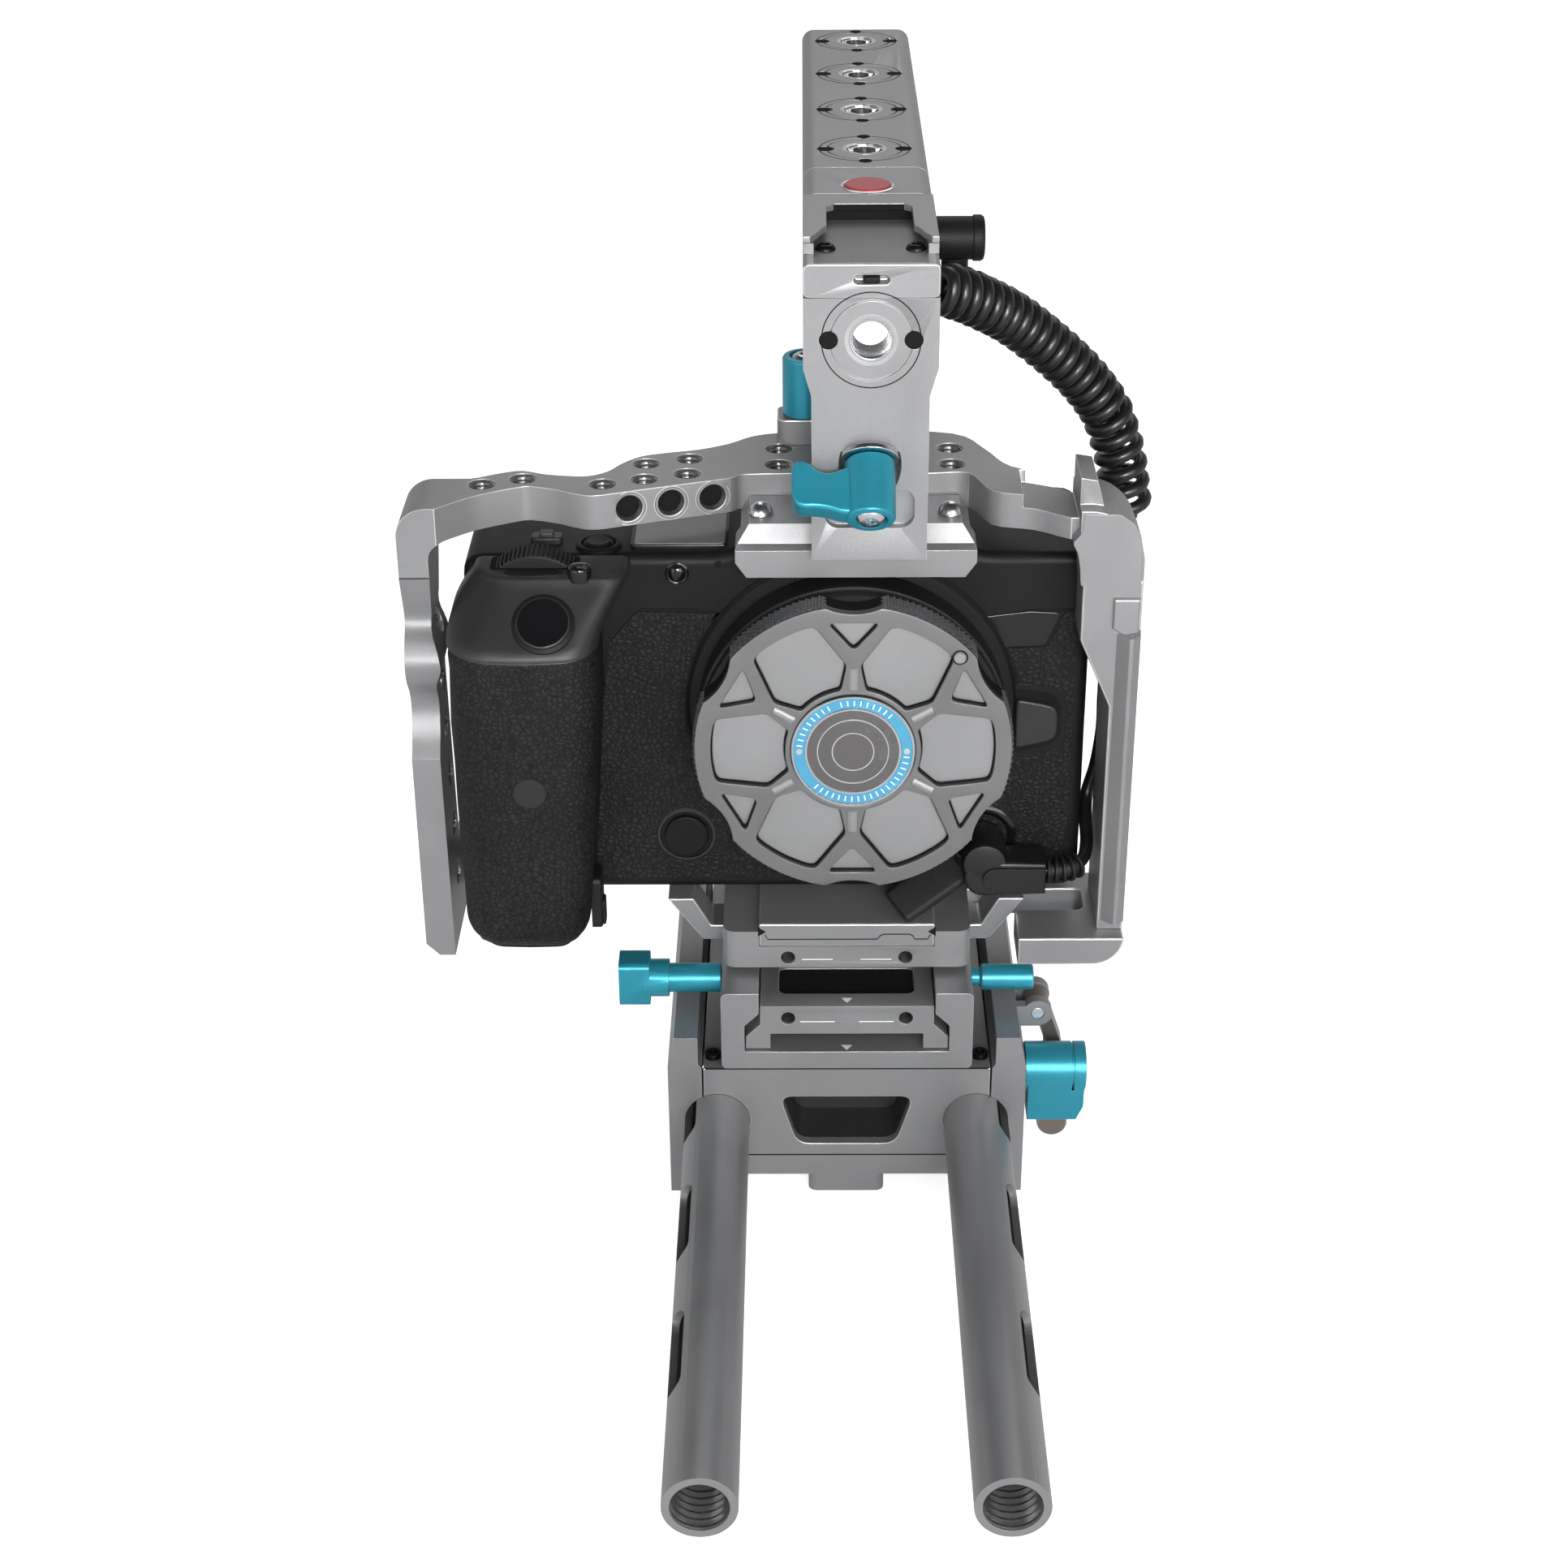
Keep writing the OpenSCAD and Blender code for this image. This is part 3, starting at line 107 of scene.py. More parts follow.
def material(name, color, rough, metal, spread, grain, bump, rough_spread=0.12, coat=0.0, spec=0.5,
             stretch=(1, 1, 1), pebbled=False):
    """A procedural finish: colour and roughness vary with noise, and a fine grain drives the bump."""
    color = color if isinstance(color, tuple) else (color, color, color)
    m = bpy.data.materials.new(name)
    m.use_nodes = True
    t = m.node_tree
    bsdf = t.nodes["Principled BSDF"]
    for key, value in (("Metallic", metal), ("Specular IOR Level", spec), ("Coat Weight", coat),
                       ("Coat Roughness", 0.15)):
        bsdf.inputs[key].default_value = value
    where = add(t, "ShaderNodeTexCoord")
    place = add(t, "ShaderNodeMapping", Scale=stretch)
    cloud = add(t, "ShaderNodeTexNoise", Scale=60, Detail=4)
    ramp = add(t, "ShaderNodeValToRGB")
    for stop, at_level, share in zip(ramp.color_ramp.elements, (0.35, 0.65), (1 - spread, 1 + spread)):
        stop.color = tuple(min(1, c * share) for c in color) + (1,)
        stop.position = at_level
    span = add(t, "ShaderNodeMapRange", To_Min=max(0.03, rough - rough_spread),
               To_Max=min(1, rough + rough_spread))
    lift = add(t, "ShaderNodeBump", Strength=bump, Distance=GRAIN_HEIGHT)
    connect(t, (where, "Object", place, "Vector"), (where, "Object", cloud, "Vector"),
            (cloud, "Fac", ramp, "Fac"), (ramp, "Color", bsdf, "Base Color"), (cloud, "Fac", span, "Value"),
            (span, "Result", bsdf, "Roughness"), (lift, "Normal", bsdf, "Normal"))
    if pebbled:
        # Pebbled: the colour is multiplied down towards the creases between pebbles and up on their middles,
        # painted shade in the creases and painted light on the pebbles.
        fine = add(t, "ShaderNodeTexVoronoi", Scale=grain)
        fine.feature = "DISTANCE_TO_EDGE"
        crease_shade = add(t, "ShaderNodeMapRange", From_Max=0.22, To_Min=0.12, To_Max=1.5)
        pebble_shading = t.nodes.new("ShaderNodeMix")
        pebble_shading.data_type = "RGBA"
        pebble_shading.blend_type = "MULTIPLY"
        pebble_shading.inputs["Factor"].default_value = 1.0
        connect(t, (fine, "Distance", crease_shade, "Value"), (fine, "Distance", lift, "Height"),
                (ramp, "Color", pebble_shading, "A"), (crease_shade, "Result", pebble_shading, "B"),
                (pebble_shading, "Result", bsdf, "Base Color"))
    else:
        fine = add(t, "ShaderNodeTexNoise", Scale=grain, Detail=3)
        connect(t, (fine, "Fac", lift, "Height"))
    connect(t, (place, "Vector", fine, "Vector"))
    return m


M = {
    "grey": material("anodised_grey", (0.27, 0.27, 0.274), 0.44, 0.6, 0.04, 2200, 0.10, 0.05),
    # Lighter metal: on bevel faces and on the rims of the front holes it is painted edge highlight; it is
    # also the finish of the medallion's rings and dots.
    "edge": material("bright_metal_and_painted_highlight", (0.62, 0.62, 0.63), 0.32, 0.8, 0.04, 1800, 0.05, 0.05),
    "cap_web": material("cap_web_grey", (0.17, 0.17, 0.172), 0.42, 0.55, 0.04, 2200, 0.08, 0.05),
    "cap": material("cap_grey", (0.285, 0.285, 0.288), 0.42, 0.55, 0.04, 2200, 0.08, 0.05),
    "rod": material("rod_grey", (0.30, 0.30, 0.304), 0.42, 0.6, 0.05, 1500, 0.06, stretch=(1, 0.05, 1)),
    "dark": material("dark_metal", (0.055, 0.055, 0.057), 0.4, 0.6, 0.08, 1600, 0.08),
    "knurl": material("knurled_dark", (0.13, 0.13, 0.132), 0.3, 0.6, 0.08, 1600, 0.05),
    "head": material("camera_head", (0.017, 0.017, 0.0172), 0.42, 0.0, 0.12, 2600, 0.08, spec=0.45),
    # Near-black: painted shade in pockets, holes, slots and grooves; also the dark lines of seams.
    "shade": material("recess_shade", 0.009, 0.8, 0.0, 0.08, 1600, 0.08, spec=0.08),
    "steel": material("bright_steel", (0.66, 0.66, 0.67), 0.2, 1.0, 0.05, 900, 0.05, 0.06),
    "thread": material("thread_steel", (0.36, 0.36, 0.365), 0.24, 0.9, 0.08, 1500, 0.06, 0.06),
    "teal": material("teal_anodised", (0.028, 0.285, 0.385), 0.32, 0.5, 0.05, 1500, 0.05, 0.05),
    # Lighter teal for bevel faces: painted edge highlight.
    "teal_painted_highlight": material("teal_painted_highlight", (0.10, 0.45, 0.56), 0.25, 0.75, 0.05, 1500, 0.05, 0.05),
    "bronze": material("bronze_anodised", (0.20, 0.17, 0.145), 0.4, 0.7, 0.06, 1500, 0.08),
    # Lighter bronze for bevel faces: painted edge highlight.
    "bronze_painted_highlight": material("bronze_painted_highlight", (0.42, 0.37, 0.32), 0.32, 0.75, 0.06, 1500, 0.08),
    "black": material("camera_black", 0.0065, 0.5, 0.0, 0.15, 2600, 0.10, spec=0.18),
    "gloss": material("gloss_black", (0.005, 0.005, 0.006), 0.12, 0.0, 0.15, 500, 0.01, 0.05),
    "leather": material("pebbled_rubber", 0.0085, 0.6, 0.0, 0.25, 820, 1.0, spec=0.22, pebbled=True),
    "rubber": material("soft_rubber", 0.006, 0.55, 0.0, 0.15, 1200, 0.15, spec=0.35),
    "cord": material("cord_rubber", 0.007, 0.33, 0.0, 0.12, 700, 0.05),
    "inlay": material("inlay_rubber", 0.0125, 0.5, 0.0, 0.12, 2600, 0.08, spec=0.35),
    "red": material("red_button", (0.36, 0.045, 0.05), 0.35, 0.3, 0.06, 1500, 0.05),
    "oxide": material("black_oxide", (0.012, 0.012, 0.0125), 0.32, 0.8, 0.1, 1500, 0.05),
    "medal_blue": material("enamel_blue", (0.06, 0.29, 0.46), 0.25, 0.15, 0.05, 800, 0.03, coat=0.4),
    "medal_grey": material("enamel_grey", (0.095, 0.09, 0.09), 0.26, 0.2, 0.05, 800, 0.03, coat=0.4),
    "mark": material("engraved_mark", 0.74, 0.6, 0.0, 0.04, 1800, 0.03),
    "lcd": material("display_glass", (0.17, 0.17, 0.174), 0.14, 0.0, 0.04, 400, 0.01, coat=0.6),
}


# Places and outlines, in millimetres

def at(x, y, z):
    return Matrix.Translation((x, y, z))


def turned(angle, axis="Z"):
    return Matrix.Rotation(radians(angle), 4, axis)


def aim(point, direction):
    """A place whose own Z axis points along a direction."""
    return at(*point) @ Vector(direction).to_track_quat("Z", "Y").to_matrix().to_4x4()


def facing(side, level):
    """A drawing plane: its X and Y lie on that side of the object and its Z points out of it."""
    x, y, z, off = {"front": ((1, 0, 0), (0, 0, 1), (0, -1, 0), (0, level, 0)),
                    "back": ((-1, 0, 0), (0, 0, 1), (0, 1, 0), (0, level, 0)),
                    "top": ((1, 0, 0), (0, 1, 0), (0, 0, 1), (0, 0, level)),
                    "right": ((0, 1, 0), (0, 0, 1), (1, 0, 0), (level, 0, 0)),
                    "left": ((0, -1, 0), (0, 0, 1), (-1, 0, 0), (level, 0, 0))}[side]
    return at(*off) @ Matrix((x, y, z)).transposed().to_4x4()


def ring_places(centre, axis, radius, count, start=0.0):
    """Places round a circle, each with its own Z pointing outwards and its X along the axis."""
    base, outwards = aim(centre, axis), at(radius, 0, 0) @ turned(90, "Y")
    return [base @ turned(start + 360 * k / count) @ outwards for k in range(count)]


def circle(cx, cy, r, n=32, start=0.0, end=360.0):
    """Points on a circle, or on an arc with both its ends."""
    steps = n if abs(end - start) >= 359.9 else n - 1
    angles = [radians(start + (end - start) * k / steps) for k in range(n)]
    return [(cx + r * cos(a), cy + r * sin(a)) for a in angles]


def soft(points, d, steps=4):
    """An outline with each corner rounded off over a distance."""
    out, n = [], len(points)
    for i in range(n):
        b = Vector(points[i])
        u, v = Vector(points[i - 1]) - b, Vector(points[(i + 1) % n]) - b
        u, v = u.normalized() * min(d, 0.48 * u.length), v.normalized() * min(d, 0.48 * v.length)
        for k in range(steps + 1):
            f = k / steps
            out.append(tuple(b + u * (1 - f) ** 2 + v * f * f))
    return out


def rect(x0, x1, y0, y1, r=0.0, steps=4):
    pts = [(x0, y0), (x1, y0), (x1, y1), (x0, y1)]
    return soft(pts, r, steps) if r else pts


def inset(points, d):
    """An outline moved inwards along the middle of each corner; the outline runs anticlockwise."""
    out, n = [], len(points)
    for i in range(n):
        p = Vector(points[i])
        a, b = (p - Vector(points[i - 1])).normalized(), (Vector(points[(i + 1) % n]) - p).normalized()
        na, nb = Vector((-a.y, a.x)), Vector((-b.y, b.x))
        m = na + nb
        m = m.normalized() if m.length > 1e-6 else na
        out.append(tuple(p + m * d / max(0.35, m.dot(na))))
    return out


def mirrored(points):
    """An outline seen from the back, still anticlockwise."""
    return [(-x, y) for x, y in reversed(points)]


def smooth_path(points, steps):
    """A curve that passes through all its points."""
    out, n = [], len(points)
    for i in range(n - 1):
        b, c = points[i], points[i + 1]
        a = points[i - 1] if i else 2 * b - c
        d = points[i + 2] if i < n - 2 else 2 * c - b
        for s in range(steps):
            f = s / steps
            out.append(0.5 * (2 * b + (c - a) * f + (2 * a - 5 * b + 4 * c - d) * f * f
                              + (3 * b - a - 3 * c + d) * f ** 3))
    return out + [points[-1]]


def even_path(points, count):
    """The same path with its points at equal distances."""
    dist = [0.0]
    for a, b in zip(points, points[1:]):
        dist.append(dist[-1] + (b - a).length)
    out, j = [], 0
    for i in range(count + 1):
        want = dist[-1] * i / count
        while j < len(points) - 2 and dist[j + 1] < want:
            j += 1
        f = (want - dist[j]) / max(1e-9, dist[j + 1] - dist[j])
        out.append(points[j].lerp(points[j + 1], min(1, f)))
    return out


# Geometry Nodes: a stamp repeated on points, each turned by the point's own angles

def stamp_tree():
    t = bpy.data.node_groups.new("stamp_on_points", "GeometryNodeTree")
    for name, kind in (("Geometry", "Geometry"), ("Stamp", "Object"), ("Size", "Float"),
                       ("Finish", "Material")):
        t.interface.new_socket(name, in_out="INPUT", socket_type="NodeSocket" + kind)
    t.interface.new_socket("Geometry", in_out="OUTPUT", socket_type="NodeSocketGeometry")
    start, end = add(t, "NodeGroupInput"), add(t, "NodeGroupOutput")
    shape = add(t, "GeometryNodeObjectInfo")
    points = add(t, "GeometryNodeMeshToPoints")
    turn = add(t, "GeometryNodeInputNamedAttribute", Name="turn")
    turn.data_type = "FLOAT_VECTOR"
    euler = add(t, "FunctionNodeEulerToRotation")
    copies = add(t, "GeometryNodeInstanceOnPoints")
    real = add(t, "GeometryNodeRealizeInstances")
    paint = add(t, "GeometryNodeSetMaterial")
    connect(t, (start, "Geometry", points, "Mesh"), (start, "Stamp", shape, "Object"),
            (points, "Points", copies, "Points"), (shape, "Geometry", copies, "Instance"),
            (turn, "Attribute", euler, "Euler"), (euler, "Rotation", copies, "Rotation"),
            (start, "Size", copies, "Scale"), (copies, "Instances", real, "Geometry"),
            (real, "Geometry", paint, "Geometry"), (start, "Finish", paint, "Material"),
            (paint, "Geometry", end, "Geometry"))
    return t


STAMPS = stamp_tree()
STAMP_INPUTS = {i.name: i.identifier for i in STAMPS.interface.items_tree if i.in_out == "INPUT"}


# Meshes

def evaluated_mesh(o):
    bpy.context.view_layer.update()
    return bpy.data.meshes.new_from_object(o.evaluated_get(bpy.context.evaluated_depsgraph_get()))


def apply_modifiers(o):
    me = evaluated_mesh(o)
    o.modifiers.clear()
    o.data = me


def level_faces(o):
    """Large faces keep their own direction where a rounded rim meets them."""
    mod = o.modifiers.new("level", "WEIGHTED_NORMAL")
    mod.mode = "FACE_AREA"
    mod.weight = 100
    mod.keep_sharp = True
    apply_modifiers(o)


class Shape:
    """A mesh drawn in millimetres, step by step, which then becomes a piece that rides on a body."""

    def __init__(self):
        self.bm = bmesh.new()

    def loft(self, rows, start=True, end=True, mats=None):
        """Walls from each row of points to the next, with the end rows closed."""
        rows = [[self.bm.verts.new(p) for p in row] for row in rows]
        mats = mats or [0] * len(rows)
        n = len(rows[0])
        for a, b, mat in zip(rows, rows[1:], mats[1:]):
            for k in range(n):
                self.bm.faces.new((a[k], a[(k + 1) % n], b[(k + 1) % n], b[k])).material_index = mat
        for wanted, i in ((start, 0), (end, -1)):
            if wanted:
                self.bm.faces.new(rows[i]).material_index = mats[i]
        return self

    def lathe(self, profile, sides, place=Matrix(), closed=False, mats=None):
        """Turns a profile of (radius, height) about a place's Z axis."""
        angles = [2 * pi * k / sides for k in range(sides)]
        rings = []
        for r, h in profile:
            if r < 1e-6:
                rings.append([self.bm.verts.new(place @ Vector((0, 0, h)))] * sides)
            else:
                rings.append([self.bm.verts.new(place @ Vector((r * cos(a), r * sin(a), h))) for a in angles])
        pairs = list(zip(rings, rings[1:]))
        if closed:
            pairs.append((rings[-1], rings[0]))
        for i, (a, b) in enumerate(pairs):
            for k in range(sides):
                n = (k + 1) % sides
                loop = list(dict.fromkeys((a[k], a[n], b[n], b[k])))
                if len(loop) > 2:
                    self.bm.faces.new(loop).material_index = mats[i] if mats else 0
        for ring in (rings[0], rings[-1]):
            if not closed and ring[0] is not ring[1]:
                self.bm.faces.new(ring)
        return self

    def ring(self, inner, outer, low, high, sides, place=Matrix()):
        corners = [(inner, low), (outer, low), (outer, high), (inner, high)]
        return self.lathe(corners, sides, place, closed=True)

    def disc(self, r, low, high, sides, place=Matrix()):
        return self.lathe([(r, low), (r, high), (0, high)], sides, place)

    def sleeve(self, r, depth, pitch, rib, sides=20):
        """A thin closed sleeve whose inner side has the ridges of a thread."""
        profile, z = [(r - 0.03, -0.3), (r - 0.03, -depth)], -depth
        while z < -0.9:
            profile += [(r - 0.1, z), (r - rib, z + pitch * 0.4), (r - rib, z + pitch * 0.55),
                        (r - 0.1, z + pitch * 0.95)]
            z += pitch
        return self.lathe(profile + [(r - 0.12, -0.3)], sides, closed=True)

    def screw_head(self, r, h, socket):
        """A domed head with a driver socket."""
        return self.lathe([(r, 0), (r, 0.25 * h), (0.86 * r, 0.72 * h), (0.6 * r, h), (socket * 1.02, h),
                           (socket, h * 0.9), (socket, h * 0.3), (0, h * 0.25)], 36)

    def prism(self, outline, t, place, r=0.0, steps=3, both=False, z0=0.0):
        """A slab of an outline from z0 to t above a place, with its upper rim or both rims rounded over r."""
        bend = [radians(90 * k / steps) for k in range(steps + 1)]
        low = [(z0 + r - r * sin(a), r - r * cos(a)) for a in reversed(bend)] if both else [(z0, 0.0)]
        high = [(t - r + r * sin(a), r - r * cos(a)) for a in bend] if r else [(t, 0.0)]
        return self.loft([[place @ Vector((x, y, z)) for x, y in (inset(outline, d) if d else outline)]
                          for z, d in low + high])

    def plate(self, outlines, t, place, bevel=0.0):
        """A flat plate with holes in it, drawn as a filled curve."""
        cu = bpy.data.curves.new("plate_outline", "CURVE")
        cu.dimensions = "2D"
        cu.fill_mode = "BOTH"
        cu.extrude = (t / 2 - bevel) * MM
        cu.bevel_depth = bevel * MM
        cu.bevel_resolution = 1
        cu.offset = -bevel * MM
        for pts in outlines:
            s = cu.splines.new("POLY")
            s.points.add(len(pts) - 1)
            for p, q in zip(s.points, pts):
                p.co = (q[0] * MM, q[1] * MM, 0, 1)
            s.use_cyclic_u = True
        o = new_object("plate_outline", cu)
        me = evaluated_mesh(o)
        me.transform(place @ at(0, 0, t / 2) @ Matrix.Scale(1 / MM, 4))
        me.materials.clear()
        self.bm.from_mesh(me)
        bpy.data.objects.remove(o)
        bpy.data.curves.remove(cu)
        bpy.data.meshes.remove(me)
        return self

    def tube(self, points, radius, sides):
        """A round tube through points, with a frame carried along it so that it does not twist."""
        rows, side, last = [], None, len(points) - 1
        for i, p in enumerate(points):
            along = (points[min(i + 1, last)] - points[max(i - 1, 0)]).normalized()
            if side is None:
                side = along.orthogonal().normalized()
            side = (side - along * side.dot(along)).normalized()
            other = along.cross(side)
            rows.append([p + radius * (cos(a) * side + sin(a) * other)
                         for a in (2 * pi * k / sides for k in range(sides))])
        return self.loft(rows)

    def mesh(self, name, angle):
        bmesh.ops.remove_doubles(self.bm, verts=self.bm.verts, dist=1e-4)
        bmesh.ops.recalc_face_normals(self.bm, faces=self.bm.faces)
        me = bpy.data.meshes.new(name)
        self.bm.to_mesh(me)
        self.bm.free()
        me.transform(Matrix.Scale(MM, 4))
        me.shade_smooth()
        me.set_sharp_from_angle(angle=radians(angle))
        return me

    def finish(self, name, finishes, body=STAGE, nodes=(), angle=35, slot=None):
        """Ends the drawing: a piece with one finish or several, which may stand in for CAD nodes."""
        me = self.mesh(name, angle)
        for key in [finishes] if isinstance(finishes, str) else finishes:
            me.materials.append(M[key])
        o = new_object(name, me)
        level_faces(o)
        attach(o, body)
        if nodes:
            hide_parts(*nodes)
        return o

    def stamp(self, name, places, finish, body=STAGE, angle=35):
        """Ends the drawing: copies of it at each place, joined as one piece."""
        src = new_object("stamp", self.mesh("stamp", angle))
        level_faces(src)
        dots = bpy.data.meshes.new(name)
        dots.from_pydata([p.translation * MM for p in places], [], [])
        turn = dots.attributes.new("turn", "FLOAT_VECTOR", "POINT")
        turn.data.foreach_set("vector", [a for p in places for a in p.to_euler()])
        o = new_object(name, dots)
        mod = o.modifiers.new("stamp", "NODES")
        mod.node_group = STAMPS
        for key, value in (("Stamp", src), ("Size", 1.0), ("Finish", M[finish])):
            mod[STAMP_INPUTS[key]] = value
        apply_modifiers(o)
        bpy.data.objects.remove(src)
        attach(o, body)


# The curly cord and its straight lead, from the handle's socket to the camera's plug

CORD_D = 3.0
CURL_R = (11.9 - CORD_D) / 2
CURL_STEPS = 24
TIGHT, LOOSE, TIGHT_SHARE = 3.06, 4.3, 0.66
COIL_LINE = even_path(smooth_path([Vector(p) for p in (
    (18.4, -12, 209.6), (22.6, -9.6, 207.6), (26.8, -7, 205.2), (34.6, -2, 199.7), (41.7, 1, 193.6),
    (48.8, 3, 186.8), (53.3, 4, 181.6), (57.1, 5, 176), (59.4, 6, 170.2), (60.9, 6, 165.2), (61.9, 6, 160.2),
    (62.7, 6, 155.1), (63.4, 6, 149.5))], 24), 1400)
CORD_START = [Vector(p) for p in (
    (23, 4, 207.9), (22.8, 3.2, 205.4), (21.6, -1.0, 203.6), (18.6, -6.0, 204.4), (16.4, -10.0, 207.0))]
CORD_LEAD = [Vector(p) for p in (
    (62.6, 3, 135), (60.6, -3, 128), (59, -7, 120), (58.6, -9, 112), (58.6, -9.4, 104), (57.6, -9.6, 95),
    (55.8, -10.6, 88), (55.2, -15, 84), (55.2, -20, 80.5), (54, -25, 78.8), (50.5, -28.4, 78.1),
    (47.5, -29, 78), (45, -29, 78))]


def coil_route():
    """Curls about the coil's middle line: close together at the top and looser near the end."""
    last = len(COIL_LINE) - 1
    step = (COIL_LINE[1] - COIL_LINE[0]).length
    turns = [step / (TIGHT if k < TIGHT_SHARE * last else LOOSE) for k in range(last + 1)]
    total = sum(turns[:last])
    out, turn, shown = [], 0.0, -1.0
    for k, p in enumerate(COIL_LINE):
        along = (COIL_LINE[min(k + 20, last)] - COIL_LINE[max(k - 20, 0)]).normalized()
        side = (Vector((0, 1, 0)) - along * along.y).normalized()
        up = along.cross(side)
        if turn - shown >= 1 / CURL_STEPS:
            grow = max(0, min(1, 0.2 + 2.4 * turn, 0.1 + total - turn))
            a = 2 * pi * turn
            out.append(p + CURL_R * grow * (side * cos(a) + up * sin(a)))
            shown = turn
        turn += turns[k]
    return out


def curly_cord():
    coil, coil_end = coil_route(), COIL_LINE[-1]
    below = [coil_end - Vector((0, 0, drop)) for drop in (2.3, 4.6, 8.6)]
    route = smooth_path(CORD_START + coil[:1], 6)[:-1] + coil + below[:1]
    route += smooth_path(below[1:] + CORD_LEAD, 6)
    route = [p for i, p in enumerate(route) if i == 0 or (p - route[i - 1]).length > 0.05]
    piece = Shape().tube(route, CORD_D / 2, 12).finish(
        "curly_cord", "cord", nodes=("cord_coil", "cord_lead"), slot="cord_rubber")


curly_cord()


# CAD nodes with rounded edges and finishes

CREASE = radians(32)


def dress(node, finish, width, segments=2, edge=None):
    """A copy of a CAD node with rounded edges stands in for it."""
    bm = bmesh.new()
    bm.from_mesh(frame["nodes"][node].data)
    bmesh.ops.remove_doubles(bm, verts=bm.verts, dist=2e-6)
    bmesh.ops.dissolve_limit(bm, angle_limit=radians(0.6), verts=bm.verts, edges=bm.edges)
    me = bpy.data.meshes.new(node + "_skin")
    bm.to_mesh(me)
    bm.free()
    me.materials.clear()
    me.materials.append(M[finish])
    me.materials.append(M[edge or finish])
    me.shade_smooth()
    me.set_sharp_from_angle(angle=CREASE)
    o = new_object(node + "_skin", me)
    mod = o.modifiers.new("round", "BEVEL")
    mod.width = width * MM
    mod.segments = segments
    mod.limit_method = "ANGLE"
    mod.angle_limit = CREASE
    mod.use_clamp_overlap = True
    mod.harden_normals = True
    # Where an edge finish is given, the bevel faces take it: a lighter colour as painted edge highlight.
    mod.material = 1 if edge else -1
    apply_modifiers(o)
    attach(o, NODE_BODY[node])
    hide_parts(node)


for nodes, finish, width, segments, edge in (
        (("base_block", "base_floor", "rod_jaw_left", "rod_jaw_right", "receiver", "slide_plate",
          "riser_plate", "camera_plate", "cage_left_arm", "cage_right_arm", "cage_top", "cage_bottom",
          "front_block", "rear_clamp_block", "handle_post", "shoe_block", "trigger_housing", "handle_grip"),
         "grey", 0.45, 2, "edge"),
        (("riser_braces",), "grey", 0.4, 2, "edge"),
        (("rod_left", "rod_right"), "rod", 0.3, 2, "edge"),
        (("clamp_screw", "side_stud", "release_pin", "camera_screw", "block_screws", "handle_washer",
          "lens_mount"), "steel", 0.2, 2, None),
        (("clamp_lever", "side_knob", "lock_button"), "teal", 0.7, 3, "teal_painted_highlight"),
        (("release_lever",), "bronze", 0.6, 2, "bronze_painted_highlight"),
        (("top_button", "preview_button", "mode_switch"), "black", 0.4, 2, None),
        (("rear_screen",), "black", 0.6, 2, None),
        (("shutter_button",), "gloss", 0.5, 2, None),
        (("eyecup",), "rubber", 1.6, 3, None),
        (("port_flap",), "rubber", 0.8, 2, None),
        (("main_dial",), "rubber", 0.5, 2, None),
        (("cap_ring",), "rubber", 0.4, 2, None),
        (("record_button",), "red", 0.5, 2, None),
        (("base_screws",), "oxide", 0.2, 2, None)):
    for node in nodes:
        dress(node, finish, width, segments, edge)


# Lens cap: a scalloped web over a back plate, with pillows in its pockets

CAP = Vector((1, -41.8, 115.4))
CAP_FACE = at(CAP.x, 0, CAP.z) @ facing("front", CAP.y)
CAP_R, CAP_BORE, CAP_WEB, CAP_BACK = 34.4, 13.62, 2.3, 4.6
CAP_PIN = CAP_FACE @ at(22.6, 22.4, 0)
SCALLOP_R, SCALLOP_AT = 14.0, 46.5
PANEL = soft([(18.5, -9.0), (29.4, -7.7)] + circle(0, 0, 30.9, 7, -12, 12) + [(29.4, 7.7), (18.5, 9.0)]
             + circle(0, 0, 14.75, 9, 19.5, -19.5), 1.1, 3)
TRIANGLE = soft([(23.9, 0), (30.4, -5.6), (30.4, 5.6)], 1.5, 3)


def spun(points, angle):
    c, s = cos(radians(angle)), sin(radians(angle))
    return [(x * c - y * s, x * s + y * c) for x, y in points]


def cap_radius(angle):
    """The cap's rim at an angle: a circle with six scallops, the first at 30 degrees."""
    off = radians((angle % 60) - 30)
    across = SCALLOP_AT * sin(off)
    if abs(across) >= SCALLOP_R:
        return CAP_R
    return min(CAP_R, SCALLOP_AT * cos(off) - sqrt(SCALLOP_R ** 2 - across ** 2))


def cap_outline(less=0.0):
    return [((cap_radius(a) - less) * cos(radians(a)), (cap_radius(a) - less) * sin(radians(a)))
            for a in range(0, 360, 2)]


